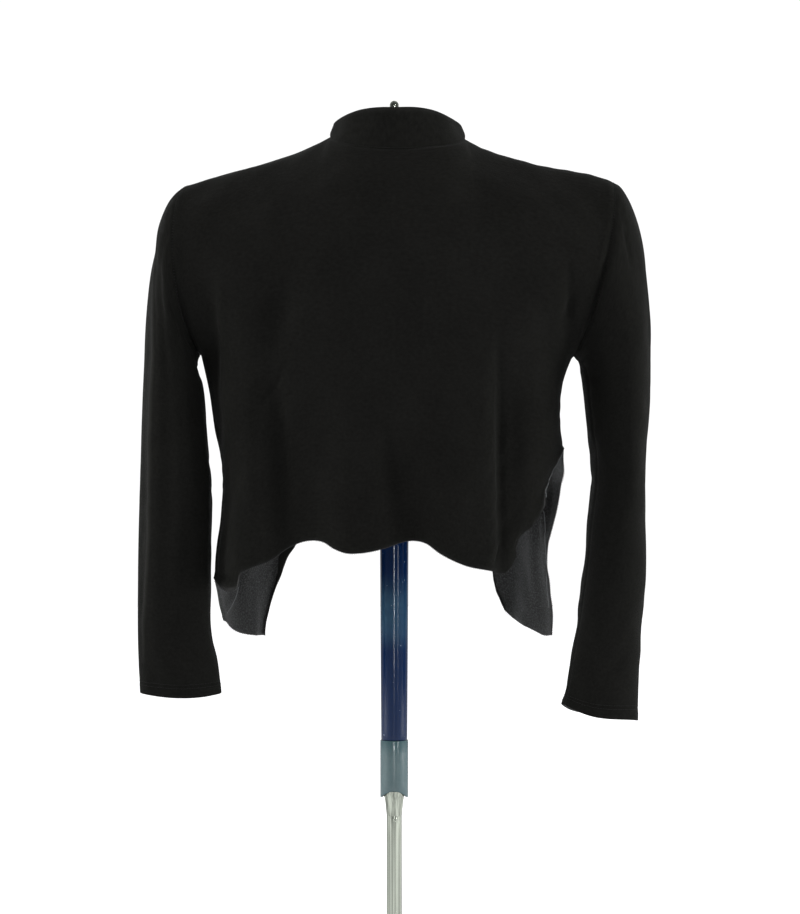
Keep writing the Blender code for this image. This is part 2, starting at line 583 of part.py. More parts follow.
def build_cloth(jersey):
    """The six pieces of the cardigan, 0.3 to 0.4 mm apart at their seams."""
    left_sleeve = sleeve_rings(LEFT_SLEEVE, LEFT_SLEEVE_FOLDS, CUFF_DROOP)
    right_sleeve = sleeve_rings(RIGHT_SLEEVE, RIGHT_SLEEVE_FOLDS, RIGHT_CUFF_DROOP,
                                RIGHT_CUFF_SKEW)
    back = back_grid(left_sleeve[0], right_sleeve[0])
    left_shared = [even(LEFT_SLIT, SLIT_STEPS)[1:]]
    front_left = front_grid(left_sleeve[0], LEFT_SEAM, LEFT_FRONT_DROP, LEFT_DROP_STEPS,
                            left_shared, LEFT_OPENING, LEFT_FRONT_HEM, LEFT_SHOULDER,
                            LEFT_FRONT_FOLDS)
    front_right = front_grid(right_sleeve[0], RIGHT_SEAM, RIGHT_FRONT_SLIT, RIGHT_SLIT_STEPS,
                             [], RIGHT_OPENING, RIGHT_FRONT_HEM, RIGHT_SHOULDER,
                             RIGHT_FRONT_FOLDS)
    down = COLLAR_DOWN
    neck = even(NECKLINE, NECK_STEPS)
    seam = np.vstack([front_left[1:down + 1, -1][::-1], neck, front_right[1:down + 1, -1]])
    collar = collar_grid(seam, down)

    pieces = {"back": back, "front_left": front_left, "front_right": front_right,
              "sleeve_left": left_sleeve, "sleeve_right": right_sleeve, "collar": collar}
    normals = {name: outward(name, grid) for name, grid in pieces.items()}
    match_seams(normals, len(back))
    for name in pieces:
        pull_in(pieces[name], "top")
    for name in ("back", "front_left", "front_right"):
        pull_in(pieces[name], "left")
        pull_in(pieces[name], "right")
    for name, grid in pieces.items():
        cloth_wall(name, grid, normals[name], jersey, closed=name.startswith("sleeve"))


def match_seams(normals, back_rows):
    """Let the cloth pass smoothly over every seam."""
    arm, seam_end = ARMHOLE_STEPS, ARMHOLE_STEPS + SEAM_STEPS
    shoulder = slice(0, SHOULDER_STEPS + 1)
    far_shoulder = slice(-1, -SHOULDER_STEPS - 2, -1)
    left_side, right_side = slice(arm, back_rows), slice(arm, seam_end + 1)
    share_edges(normals["back"], (0, shoulder), normals["front_left"], (0, shoulder))
    share_edges(normals["back"], (0, far_shoulder), normals["front_right"], (0, shoulder))
    share_edges(normals["back"], (left_side, 0), normals["front_left"], (left_side, 0))
    share_edges(normals["back"], (right_side, -1), normals["front_right"], (right_side, 0))
    armhole = slice(0, arm + 1)
    front_edge = np.r_[0, np.arange(2 * arm - 1, arm - 1, -1)]
    for sleeve, side, front in (("sleeve_left", 0, "front_left"),
                                ("sleeve_right", -1, "front_right")):
        share_edges(normals["back"], (armhole, side), normals[sleeve], (0, armhole))
        share_edges(normals[front], (armhole, 0), normals[sleeve], (0, front_edge))
    down = slice(1, COLLAR_DOWN + 1)
    left_run = np.arange(COLLAR_DOWN - 1, -1, -1)
    right_run = np.arange(COLLAR_DOWN + NECK_STEPS + 1, 2 * COLLAR_DOWN + NECK_STEPS + 1)
    share_edges(normals["front_left"], (down, -1), normals["collar"], (0, left_run))
    share_edges(normals["front_right"], (down, -1), normals["collar"], (0, right_run))


def outward(name, grid):
    """Normals of a piece, pointing out of the garment."""
    closed = name.startswith("sleeve")
    normals = surface_normals(grid, closed)
    middle = (grid.shape[0] // 2, 0 if closed else grid.shape[1] // 2)
    way = {"back": (0, 1, 0), "front_left": (0.4, -1, 0), "front_right": (-0.4, -1, 0),
           "sleeve_left": (1, 0, 0), "sleeve_right": (-1, 0, 0), "collar": (0, 1, 0)}[name]
    if np.dot(normals[middle], way) < 0.0:
        normals = -normals
    return normals


def share_edges(one, one_edge, other, other_edge):
    """Average the normals of two pieces where they are sewn together."""
    one[one_edge], other[other_edge] = share_normals(one[one_edge], other[other_edge])


def build_stand(navy, grey, chrome, plastic):
    """The stand, from its tip to its foot."""
    form_top = RIGHT_SHOULDER[0][2] - WALL - FORM_CLEARANCE - FORM_NECK_DIP
    post_top = form_top - 2.0 * FORM_HALF_HEIGHT - SEAT_GAP
    shoulder_form(plastic)
    tip = arc(0.0, NECK_ROD_TOP - NECK_ROD_RADIUS, NECK_ROD_RADIUS, 90.0, 0.0, 5)
    foot = form_top + SEAT_GAP
    turned("neck_rod", tip + [(NECK_ROD_RADIUS, foot), (0.0, foot)], chrome, 20)
    turned("post", [(0.0, post_top), (POST_TOP_RADIUS, post_top),
                    (POST_TOP_RADIUS, POST_TAPER_TOP),
                    (POST_BOTTOM_RADIUS, FERRULE_TOP + SEAT_GAP),
                    (0.0, FERRULE_TOP + SEAT_GAP)], navy)
    ferrule_low = FLARE_TOP + SEAT_GAP
    turned("ferrule", [(0.0, FERRULE_TOP), (FERRULE_RADIUS, FERRULE_TOP)]
           + arc(FERRULE_RADIUS - 4.0, ferrule_low + 4.0, 4.0, 0.0, -90.0)
           + [(0.0, ferrule_low)], grey)
    turned("flare", [(0.0, FLARE_TOP), (FLARE_RADIUS, FLARE_TOP), (FLARE_RADIUS, FLARE_TOP - 2.0),
                     (FLARE_NECK_RADIUS + 1.0, FLARE_TOP - 8.0),
                     (FLARE_NECK_RADIUS, FLARE_BOTTOM), (0.0, FLARE_BOTTOM)], chrome)
    turned("tube", [(0.0, FLARE_BOTTOM - SEAT_GAP), (TUBE_RADIUS, FLARE_BOTTOM - SEAT_GAP),
                    (TUBE_RADIUS, BASE_HEIGHT + SEAT_GAP), (0.0, BASE_HEIGHT + SEAT_GAP)],
           chrome, 24)
    turned("base", [(0.0, BASE_HEIGHT)] + arc(BASE_RADIUS - 2.5, BASE_HEIGHT - 2.5, 2.5, 90.0, 0.0)
           + [(BASE_RADIUS, 0.0), (0.0, 0.0)], chrome, 48)


def main():
    for old in list(bpy.data.objects):
        bpy.data.objects.remove(old)
    collection = bpy.data.collections.new("cardigan_on_stand")
    bpy.context.scene.collection.children.link(collection)
    jersey = material("black_jersey", (0.010, 0.010, 0.009), 0.9)
    navy = material("navy_gloss", (0.010, 0.020, 0.120), 0.15)
    grey = material("grey_plastic", (0.070, 0.120, 0.130), 0.45)
    chrome = material("chrome", (0.60, 0.58, 0.54), 0.12, 1.0)
    plastic = material("form_plastic", (0.05, 0.05, 0.055), 0.5)
    build_cloth(jersey)
    build_stand(navy, grey, chrome, plastic)


main()
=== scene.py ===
# %% [markdown]
# # A cropped cardigan on a display stand
# The real thing is a black jersey cardigan with an open front, hung on the shoulder form of a slim post
# stand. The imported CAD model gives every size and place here. This lesson keeps it as a fixed frame and gives
# each piece its cloth, seams, folds and finish.

# %% Load the frame
import math

import bpy
import numpy as np
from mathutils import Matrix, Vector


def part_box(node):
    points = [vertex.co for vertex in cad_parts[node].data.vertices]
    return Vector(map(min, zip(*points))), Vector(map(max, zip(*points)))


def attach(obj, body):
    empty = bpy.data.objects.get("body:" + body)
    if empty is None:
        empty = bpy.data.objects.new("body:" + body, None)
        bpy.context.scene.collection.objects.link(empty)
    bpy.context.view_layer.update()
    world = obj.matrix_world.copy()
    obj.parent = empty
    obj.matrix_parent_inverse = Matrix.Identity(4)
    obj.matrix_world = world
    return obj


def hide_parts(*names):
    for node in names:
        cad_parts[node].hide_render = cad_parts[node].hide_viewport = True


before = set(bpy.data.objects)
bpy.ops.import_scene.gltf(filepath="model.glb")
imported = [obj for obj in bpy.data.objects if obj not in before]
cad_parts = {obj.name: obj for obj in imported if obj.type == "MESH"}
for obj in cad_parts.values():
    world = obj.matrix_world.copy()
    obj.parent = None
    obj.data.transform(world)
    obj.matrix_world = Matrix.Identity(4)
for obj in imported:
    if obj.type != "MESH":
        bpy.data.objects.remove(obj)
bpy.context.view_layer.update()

MM = 0.001
print("nodes", len(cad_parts))

# %% [markdown]
# ## The camera
# The picture was taken level, from a good way back, at the height of the cardigan's middle. A long lens from
# 2.6 metres gives the same flat perspective. The camera stands on the +Y side, because the back faces +Y.

# %% Place the camera
def add_object(name, data):
    """A new object in the scene, at the origin and unturned."""
    made = bpy.data.objects.new(name, data)
    bpy.context.scene.collection.objects.link(made)
    return made


camera_data = bpy.data.cameras.new("picture_camera")
camera_data.lens = 98.47
camera_data.sensor_width = 36
camera = add_object("picture_camera", camera_data)
camera.location = (-0.006, 2.6, 0.513)
camera.rotation_euler = (math.radians(90), 0, math.radians(180))
bpy.context.scene.camera = camera
print("camera height", camera.location.z)

# %% [markdown]
# ## Smooth lines through a few points
# A pattern cutter marks a few points and draws a smooth line through them. These helpers do the same: each
# seam and hem is a short table of points in millimetres, and a cubic curve joins them.

# %% Curves
def smooth_step(rows, slopes, i, u, span=1):
    """Points between each row i and the next, on a curve that keeps the slopes."""
    start = (2 * u**3 - 3 * u**2 + 1) * rows[i] + (u**3 - 2 * u**2 + u) * span * slopes[i]
    return start + (3 * u**2 - 2 * u**3) * rows[i + 1] + (u**3 - u**2) * span * slopes[i + 1]


def read_between(rows, at):
    """A table's rows, read smoothly at places between them."""
    rows = np.asarray(rows, float)
    i = np.clip(np.asarray(at).astype(int), 0, len(rows) - 2)
    u = (at - i).reshape((-1,) + (1,) * (rows.ndim - 1))
    return smooth_step(rows, np.gradient(rows, axis=0), i, u)


def curve_through(points, fractions):
    """Points on a smooth curve through the given ones, at shares of its length."""
    p = np.asarray(points, float)
    knots = np.concatenate([[0], np.cumsum(np.linalg.norm(np.diff(p, axis=0), axis=1))])
    at = np.asarray(fractions, float) * knots[-1]
    i = np.clip(np.searchsorted(knots, at, side="right") - 1, 0, len(p) - 2)
    span = (knots[i + 1] - knots[i])[:, None]
    return smooth_step(p, np.gradient(p, knots, axis=0), i, (at - knots[i])[:, None] / span, span)


def curve_at(points, axis, values):
    """Points on the same smooth curve, where one coordinate has the given values."""
    fractions = np.linspace(0, 1, 600)
    found = curve_through(points, fractions)[:, axis]
    if found[-1] < found[0]:
        found = found[::-1]
        fractions = fractions[::-1]
    return curve_through(points, np.interp(values, np.maximum.accumulate(found), fractions))


def even(points, steps):
    """Evenly spaced points along a smooth curve."""
    return curve_through(points, np.linspace(0, 1, steps + 1))


def unit(vectors):
    """Vectors made one long."""
    length = np.linalg.norm(vectors, axis=-1, keepdims=True)
    return vectors / np.maximum(length, 1e-9)


def eased(share):
    """A share from 0 to 1 that starts and ends softly."""
    return share**2 * (3 - 2 * share)

# %% [markdown]
# ## The pattern's lines
# The cardigan has six pieces: a back, two narrow fronts, two sleeves and a collar band. Their lines are the
# same ones the CAD solids use, so that the dressed cloth lies on the solids. First come the lines round the
# shoulders and neck, then the side seams with the slits, the hems and the fronts' open edges.

# %% Shoulder and neck lines
LEFT_SHOULDER = [
    (66.8, -2, 846.8), (89.6, -1, 834.4), (108.4, 0, 826), (135.4, 2, 817.7),
    (167.6, 3, 809.4), (197.8, 4, 801), (219.6, 4, 792.8)]
RIGHT_SHOULDER = [
    (-73.6, -2, 844.8), (-90.3, -1, 834.4), (-111, 0, 826), (-143.3, 2, 817.7),
    (-190, 3, 809.4), (-214, 4, 803.5), (-226.5, 4, 799)]

# Back neckline: x, y, z from the left neck point to the right one
NECKLINE = [
    (66.8, -2, 846.8), (62, 30, 840), (47, 56, 832), (24, 71, 827),
    (-3, 76, 825.5), (-30, 71, 827), (-53, 56, 831), (-68, 30, 838.5),
    (-73.6, -2, 844.8)]
print("shoulder width", LEFT_SHOULDER[-1][0] - RIGHT_SHOULDER[-1][0], "mm")

# %% Side seams and slits
# Side seams and slits: x, y, z from the armpit down
LEFT_SEAM = [
    (202, 2, 620.6), (196.8, 2, 598), (191.5, 2, 572), (188.3, 2, 546),
    (182.5, 2, 520)]
LEFT_SLIT = [
    (182.5, 2, 520), (179, 2, 494), (180, 2, 468), (182.2, 2, 442),
    (186.2, 2, 416), (187.4, 3, 387.3)]
RIGHT_SEAM = [
    (-186, 2, 617), (-178.5, 2, 598), (-173.2, 2, 572), (-173.6, 2, 546),
    (-175.6, 2, 522)]
RIGHT_BACK_SLIT = [
    (-175.6, 2, 522), (-162.5, 18, 493.4), (-154, 30, 472), (-139, 45, 440.5),
    (-126.5, 55, 423), (-122.8, 58, 406.2), (-112.5, 62, 394.5)]
RIGHT_FRONT_SLIT = [
    (-175.6, 2, 522), (-176.6, -2, 494), (-172.4, -6, 468), (-166, -10, 440),
    (-160.5, -14, 416), (-161, -16, 390), (-164, -17, 364), (-165.5, -18, 327)]
LEFT_FRONT_DROP = [(187.4, 3, 387.3), (183, -4, 365), (178, -12, 343)]
print("side seam", round(LEFT_SEAM[0][2] - LEFT_SEAM[-1][2]), "mm long")

# %% Hems
# Back hem: x, y, z from the left corner to the right one
BACK_HEM = [
    (187.4, 3, 387.3), (179, 16, 379), (168, 30, 376), (160.5, 40, 378.5),
    (156.5, 46, 394.5), (148, 52, 399), (124, 64, 409), (107, 68, 421),
    (95, 68, 426.5), (70, 77, 426.5), (61.7, 80, 421.3), (48, 82, 416.2),
    (34.5, 80, 416.2), (9.3, 75, 421.3), (-6, 72, 426.3), (-20, 73, 428.3),
    (-31, 76, 426.3), (-46.2, 79, 416.1), (-71.5, 80, 404), (-99, 76, 397.5),
    (-104.5, 70, 394.7), (-112.5, 62, 394.5)]

# Front hems: x, y, z from the side to the opening edge
LEFT_FRONT_HEM = [(178, -12, 343), (162.7, -38, 328.5), (140.4, -58, 324.2)]
RIGHT_FRONT_HEM = [
    (-165.5, -18, 327), (-157, -32, 326), (-148.5, -43, 330),
    (-136, -52, 336), (-124, -58, 343.5), (-116, -61, 351)]

# %% Open edges and the middle of the back
# Opening edges of the fronts: x, y, z from the neck point down
LEFT_OPENING = [
    (66.8, -2, 846.8), (70, -25, 837), (76, -47, 812), (84, -63, 772),
    (90, -72, 715), (93, -77, 640), (94.5, -76, 560), (95, -73, 480),
    (98.5, -68, 416), (114.4, -66, 387), (128.2, -64, 360.4), (137.8, -60, 334),
    (140.4, -58, 324.2)]
RIGHT_OPENING = [
    (-73.6, -2, 844.8), (-76, -25, 835.5), (-80, -47, 812), (-86, -63, 772),
    (-92, -72, 715), (-97, -77, 640), (-100, -76, 560), (-101, -73, 480),
    (-102, -69, 410), (-106, -66, 376), (-110, -64, 361), (-116, -61, 351)]

# Centre back line: y, z from the neckline to the hem
CENTRE_BACK = [
    (76, 825.5), (86, 803), (95, 765), (99, 715), (96, 660), (88, 600),
    (80, 540), (76, 480), (73, 426.5)]
print("back length", CENTRE_BACK[0][1] - CENTRE_BACK[-1][1], "mm")

# %% [markdown]
# ## The sleeves
# An empty sleeve hangs as a flattened tube. Each line of the table is one section of it: where its outer and
# inner sides are, how deep it is, and how much its back and front bow. Rings of points are read between the
# sections, and the main folds push the rings in or out.

# %% Sleeve sections
# Sleeve sections: outer x, outer z, inner x, inner z, y middle, half depth, bow.
# The bow pushes the back and the front of a section away from the body.
LEFT_SLEEVE = [
    (219.6, 792.8, 202, 620.6, 4, 64, 12),
    (229, 782, 202.5, 618.6, 4, 65, 11),
    (240.5, 760, 203, 616.4, 4, 66, 9),
    (247, 730, 203.2, 613.6, 4, 66, 7),
    (253.6, 702, 203.2, 610.2, 4, 65, 5),
    (257.2, 672, 202.8, 606, 4, 63, 3),
    (259.4, 640, 202, 599.5, 4, 61, 2),
    (260.8, 605, 199, 588, 3, 58, 1),
    (262.2, 570, 196, 566, 2, 55, 0),
    (263.2, 535, 193.2, 534, 1, 51, 0),
    (264.2, 495, 189.4, 495, 0, 47, 0),
    (265.4, 455, 188.6, 455, -1, 43, 0),
    (266.2, 415, 189.4, 415, -1, 39, 0),
    (266.6, 375, 190, 375, -2, 35, 0),
    (266.6, 335, 189.4, 335, -2, 31, 0),
    (265.6, 300, 184.6, 300, -2, 27, 0),
    (263.6, 268.5, 181.4, 267.5, -2, 24, 0)]
RIGHT_SLEEVE = [
    (-226.5, 799, -186, 617, 4, 66, -8),
    (-238, 788.5, -188, 615.5, 4, 67, -7),
    (-249, 765, -190, 614, 4, 67, -5),
    (-256.5, 735, -191.5, 612, 4, 66, -4),
    (-260.6, 702, -192.8, 609, 4, 65, -3),
    (-262.2, 670, -193.8, 604.5, 4, 63, -2),
    (-263.4, 636, -194.8, 597, 4, 61, -1),
    (-264.2, 600, -196.6, 584, 3, 58, 0),
    (-264, 560, -199.4, 556, 2, 54, 0),
    (-261, 522, -203.6, 520, 1, 50, 0),
    (-260.2, 486, -205.2, 488, 0, 47, 0),
    (-261.4, 450, -202.4, 452, -1, 44, 0),
    (-262.2, 412, -198.6, 414, -1, 40, 0),
    (-260.4, 373, -193.8, 374, -2, 37, 0),
    (-257.4, 332, -188, 332, -2, 33, 0),
    (-254.8, 288, -181.2, 291, -2, 28, 0),
    (-254.2, 238.5, -174.2, 257, -2, 24, 0)]

# %% Sleeve folds
# Folds of the sleeves: angle round the sleeve in degrees (0 outer side, 90 back, 180 inner
# side, 270 front), spread in degrees, first and last section, depth
LEFT_SLEEVE_FOLDS = [
    (48, 16, 4, 15, -3.5),
    (104, 34, 2, 9.5, 6),
    (300, 26, 3, 12, 5)]
RIGHT_SLEEVE_FOLDS = [
    (62, 20, 0.6, 5, 4),
    (128, 28, 3, 11, 4),
    (296, 26, 4, 13, 5)]

# %% Rings down a sleeve
ARMHOLE_STEPS = 10
SLEEVE_STEPS = 21
LEFT_CUFF_DROOP = 3.5
RIGHT_CUFF_DROOP = 4.6
RIGHT_CUFF_SKEW = 1.1


def sleeve_rings(sections, folds, droop_depth, skew=0):
    """Rings from the armhole to the cuff, each from the outer side over the back and round."""
    table = np.asarray(sections, float)
    last = len(table) - 1
    at = np.linspace(0, last, SLEEVE_STEPS + 1)
    outer_x, outer_z, inner_x, inner_z, middle_y, depth, bow = read_between(table, at).T[..., None]
    angle = np.linspace(0, 2 * np.pi, 2 * ARMHOLE_STEPS + 1)[:-1]
    c = np.cos(angle)[None, :]
    s = np.sin(angle)[None, :]
    mid_x = (outer_x + inner_x) / 2
    mid_z = (outer_z + inner_z) / 2
    x = mid_x + (outer_x - inner_x) / 2 * c + bow * s**2
    y = middle_y + depth * s
    z = mid_z + (outer_z - inner_z) / 2 * c
    rings = np.stack([x, y, z], axis=-1)
    centre = np.stack([mid_x, middle_y, mid_z], axis=-1)
    inward = unit(centre - rings)
    for degrees, spread, first, final, fold_depth in folds:
        turn = (np.degrees(angle) - degrees + 180) % 360 - 180
        across = np.exp(-(turn / spread)**2)
        along = np.sin(np.pi * np.clip((at - first) / (final - first), 0, 1))**0.8
        rings = rings + inward * (fold_depth * along[:, None] * across[None, :])[..., None]
    droop = droop_depth * np.clip((at - last + 1.5) / 1.5, 0, 1)
    rings[..., 2] -= droop[:, None] * s**2 * (1 - skew * c)
    return rings


rings_left = sleeve_rings(LEFT_SLEEVE, LEFT_SLEEVE_FOLDS, LEFT_CUFF_DROOP)
rings_right = sleeve_rings(RIGHT_SLEEVE, RIGHT_SLEEVE_FOLDS, RIGHT_CUFF_DROOP, RIGHT_CUFF_SKEW)
print("sleeve rings", rings_left.shape[:2])

# %% [markdown]
# ## The body panels
# A panel is a net of rows from shoulder to hem. Each row runs from a side seam to the middle line as a
# flattened oval, since the shoulders hold the cloth open and its weight draws it down. The top row is then
# fitted to the shoulder seam, and the bottom row to the hem.

# %% Rows of a panel
SEAM_STEPS = 5
SLIT_STEPS = 7
SHOULDER_STEPS = 12
NECK_STEPS = 12
ROW_POWER = 2.4
RIDGE_REACH = 0.30


def half_row(end, centre, share, roundness):
    """A row of the body from its middle line (share 0) to its side (share 1)."""
    share = np.abs(share)
    flat = 1 - share**2.2
    round_ = (1 - share**ROW_POWER)**(1 / ROW_POWER)
    lift = (1 - roundness) * flat + roundness * round_
    x = centre[0] + (end[0] - centre[0]) * share
    y = end[1] + (centre[1] - end[1]) * lift
    z = end[2] + (centre[2] - end[2]) * (1 - share**2)
    return np.stack([x, y, z], axis=-1)


def spacing(steps):
    """Shares from 1 at the side to 0 at the middle line, closer together at the side."""
    s = np.linspace(0, 1, steps + 1)
    return 0.6 * (1 - s) + 0.4 * np.cos(np.pi * s / 2)


def side_roundness(side):
    """How far a row's side turns forward: none above the armhole's middle, full at the seam,
    less where a slit's edge swings back."""
    round_ = 1 - np.clip(np.abs(side[:, 1] - 2) / 60, 0, 1)
    round_[:ARMHOLE_STEPS // 2 + 1] = 0
    return round_


def drop_shares(side):
    """How far down each row is, as a share of the side's height."""
    return (side[0, 2] - side[:, 2]) / (side[0, 2] - side[-1, 2])


def ridge_weight(drop):
    """The shoulder's rounding: the top edge's pull on the rows below it."""
    return 1 - np.sqrt(1 - (1 - np.clip(drop / RIDGE_REACH, 0, 1))**2)


def fit_edges(grid, drop, top, bottom):
    """Move a panel's rows so that the first and the last lie on the given edges."""
    up = ridge_weight(drop)[:, None, None] * (top - grid[0])[None]
    down = (drop**3)[:, None, None] * (bottom - grid[-1])[None]
    return grid + up + down


def relax(grid, passes=4):
    """Even out the inner points of a panel a little, and leave its edges and ridge alone."""
    for _ in range(passes):
        mean = (grid[1:-3, 1:-1] + grid[3:-1, 1:-1] + grid[2:-2, :-2] + grid[2:-2, 2:]) / 4
        grid[2:-2, 1:-1] = 0.6 * grid[2:-2, 1:-1] + 0.4 * mean
    return grid


# %% Which way a panel faces
def surface_normals(grid, closed=False):
    """Unit normals of a grid of points, pointing away from the first axis's left side."""
    along = np.gradient(grid, axis=0)
    if closed:
        wrapped = np.concatenate([grid[:, -1:], grid, grid[:, :1]], axis=1)
        across = (wrapped[:, 2:] - wrapped[:, :-2]) / 2
    else:
        across = np.gradient(grid, axis=1)
    return unit(np.cross(along, across))


# %% [markdown]
# The main folds of the panels come next. The cloth falls in long soft troughs from the chest and the shoulder
# blades, deeper towards the hem, where nothing holds it.

# %% Main folds
# Folds of the back: x and z at the upper end, x and z at the lower end, reach towards +X,
# reach towards -X, depth. A negative depth is a ridge.
BACK_FOLDS = [
    (118, 610, 100, 420, 19, 46, 12),
    (164, 655, 160, 405, 18, 20, -6.5),
    (193, 700, 184, 530, 14, 12, 6),
    (112, 592, 146, 552, 11, 11, 5),
    (104, 715, 130, 580, 22, 18, 5),
    (8, 560, -20, 424, 24, 26, 9),
    (-107, 650, -112, 400, 9, 26, 13),
    (-177, 700, -178, 615, 8, 9, 5),
    (60, 520, 52, 415, 20, 20, -1),
    (-66, 600, -74, 402, 24, 24, -4)]

# Folds of the fronts, in the same columns
LEFT_FRONT_FOLDS = [
    (150, 640, 156, 336, 13, 13, 8),
    (122, 600, 128, 330, 10, 12, -6)]
RIGHT_FRONT_FOLDS = [
    (-146, 650, -146, 330, 13, 12, 8),
    (-118, 590, -124, 350, 11, 10, -5)]


def add_folds(grid, normals, folds):
    """Soft troughs along slanting lines, deeper towards their lower ends."""
    x = grid[..., 0]
    z = grid[..., 2]
    depth = np.zeros(x.shape)
    for x_top, z_top, x_low, z_low, reach_plus, reach_minus, fold_depth in folds:
        down = np.clip((z_top - z) / (z_top - z_low), -0.5, 1.3)
        off = x - (x_top + (x_low - x_top) * np.clip(down, 0, 1))
        reach = np.where(off > 0, reach_plus, reach_minus)
        fade = eased(np.clip(down / 0.45, 0, 1))
        if z_low > 500:
            fade = np.sin(np.pi * np.clip(down, 0, 1))
        depth = depth + fold_depth * fade * np.exp(-(off / reach)**2)
    rows = np.arange(grid.shape[0])[:, None]
    columns = np.arange(grid.shape[1])[None, :]
    from_top = np.clip(rows / 4, 0, 1)
    from_sides = np.clip(np.minimum(columns, grid.shape[1] - 1 - columns) / 3, 0, 1)
    return grid - normals * (depth * from_top * from_sides)[..., None]


# %% The back
def back_grid(left_ring, right_ring):
    """The back panel: rows from shoulder to hem, columns from left to right."""
    left = np.vstack([left_ring[:ARMHOLE_STEPS + 1],
                      even(LEFT_SEAM, SEAM_STEPS)[1:], even(LEFT_SLIT, SLIT_STEPS)[1:]])
    right = np.vstack([right_ring[:ARMHOLE_STEPS + 1],
                       even(RIGHT_SEAM, SEAM_STEPS)[1:], even(RIGHT_BACK_SLIT, SLIT_STEPS)[1:]])
    drop = (drop_shares(left) + drop_shares(right)) / 2
    middle_z = CENTRE_BACK[0][1] + (CENTRE_BACK[-1][1] - CENTRE_BACK[0][1]) * drop
    spine = curve_at([(NECKLINE[4][0], y, z) for y, z in CENTRE_BACK], 2, middle_z)
    share = spacing(SHOULDER_STEPS + NECK_STEPS // 2)
    left_turn = side_roundness(left)
    right_turn = side_roundness(right)
    rows = []
    for j in range(len(left)):
        one = half_row(left[j], spine[j], share, left_turn[j])
        other = half_row(right[j], spine[j], share, right_turn[j])
        rows.append(np.vstack([one, other[::-1][1:]]))
    grid = np.array(rows)
    top = np.vstack([even(LEFT_SHOULDER, SHOULDER_STEPS)[::-1],
                     even(NECKLINE, NECK_STEPS)[1:],
                     even(RIGHT_SHOULDER, SHOULDER_STEPS)[1:]])
    bottom = curve_at(BACK_HEM, 0, grid[-1, :, 0])
    bottom[0] = grid[-1, 0]
    bottom[-1] = grid[-1, -1]
    grid = relax(fit_edges(grid, drop, top, bottom))
    return add_folds(grid, surface_normals(grid), BACK_FOLDS)


back_net = back_grid(rings_left[0], rings_right[0])
print("back net", back_net.shape[:2])

# %% The fronts
LEFT_DROP_STEPS = 3
RIGHT_SLIT_STEPS = 9


def front_grid(ring, side_below, opening, hem, shoulder, folds):
    """A front panel: rows from shoulder to hem, columns from the side to the opening edge."""
    side = np.vstack([np.roll(ring[::-1], 1, axis=0)[:ARMHOLE_STEPS + 1]] + side_below)
    drop = drop_shares(side)
    edge_z = opening[0][2] + (opening[-1][2] - opening[0][2]) * drop
    edge = curve_at(opening, 2, edge_z)
    share = spacing(SHOULDER_STEPS)
    turn = side_roundness(side)
    grid = np.array([half_row(side[j], edge[j], share, turn[j]) for j in range(len(side))])
    top = even(shoulder, SHOULDER_STEPS)[::-1]
    fractions = 1 - (share * 0.5 + np.linspace(1, 0, SHOULDER_STEPS + 1) * 0.5)
    grid = relax(fit_edges(grid, drop, top, curve_through(hem, fractions)))
    normals = surface_normals(grid)
    if normals[ARMHOLE_STEPS, SHOULDER_STEPS // 2, 1] > 0:
        normals = -normals
    return add_folds(grid, normals, folds)


left_below = [even(LEFT_SEAM, SEAM_STEPS)[1:], even(LEFT_SLIT, SLIT_STEPS)[1:],
              even(LEFT_FRONT_DROP, LEFT_DROP_STEPS)[1:]]
right_below = [even(RIGHT_SEAM, SEAM_STEPS)[1:], even(RIGHT_FRONT_SLIT, RIGHT_SLIT_STEPS)[1:]]
front_left_net = front_grid(rings_left[0], left_below, LEFT_OPENING, LEFT_FRONT_HEM,
                            LEFT_SHOULDER, LEFT_FRONT_FOLDS)
front_right_net = front_grid(rings_right[0], right_below, RIGHT_OPENING, RIGHT_FRONT_HEM,
                             RIGHT_SHOULDER, RIGHT_FRONT_FOLDS)
print("front nets", front_left_net.shape[:2], front_right_net.shape[:2])

# %% [markdown]
# ## The collar band
# The collar is a band that stands up at the nape and falls off along the front edges. At each station the
# table says how high it stands from its seam and which way it leans.

# %% Collar
COLLAR_STEPS = 3
COLLAR_DOWN = 7
# How far the collar swells outwards where it turns from the nape to the front
COLLAR_SWELL = 1.5
# Collar: how far it stands from its seam at each station, and the way it leans (x towards
# the neck, y, z). The stations go from centre back to the collar's lower end.
COLLAR_STATIONS = [
    (0.000, 42.6, 0.00, -0.22, 1),
    (0.077, 42.2, 0.02, -0.22, 1),
    (0.154, 38.5, 0.07, -0.22, 1),
    (0.230, 31.5, 0.13, -0.20, 1),
    (0.308, 24, 0.22, -0.18, 1),
    (0.385, 16.6, 0.26, -0.18, 1),
    (0.460, 11.4, 0.36, -0.22, 0.92),
    (0.540, 12.5, 0.66, -0.30, 0.50),
    (0.620, 15, 0.95, -0.35, 0.2),
    (0.800, 16, 0.98, -0.30, 0),
    (1.000, 7, 0.98, -0.25, 0)]


def collar_grid(seam):
    """The collar: columns along its seam from left to right, rows away from the seam."""
    table = np.asarray(COLLAR_STATIONS, float)
    station = np.abs(np.arange(len(seam)) - COLLAR_DOWN - NECK_STEPS / 2)
    station = station / (NECK_STEPS / 2 + COLLAR_DOWN)
    height, lean_x, lean_y, lean_z = [np.interp(station, table[:, 0], table[:, c])
                                      for c in range(1, 5)]
    side = np.sign(seam[:, 0] - NECKLINE[4][0])
    lean = unit(np.stack([-lean_x * side, lean_y, lean_z], axis=-1))
    shares = np.linspace(0, 1, COLLAR_STEPS + 1)
    swell = COLLAR_SWELL * np.exp(-((station - 0.44) / 0.09)**2) * side
    rows = np.array([seam + lean * (height * share)[:, None] for share in shares])
    rows[..., 0] += np.sin(np.pi * shares)[:, None] * swell[None, :]
    return rows


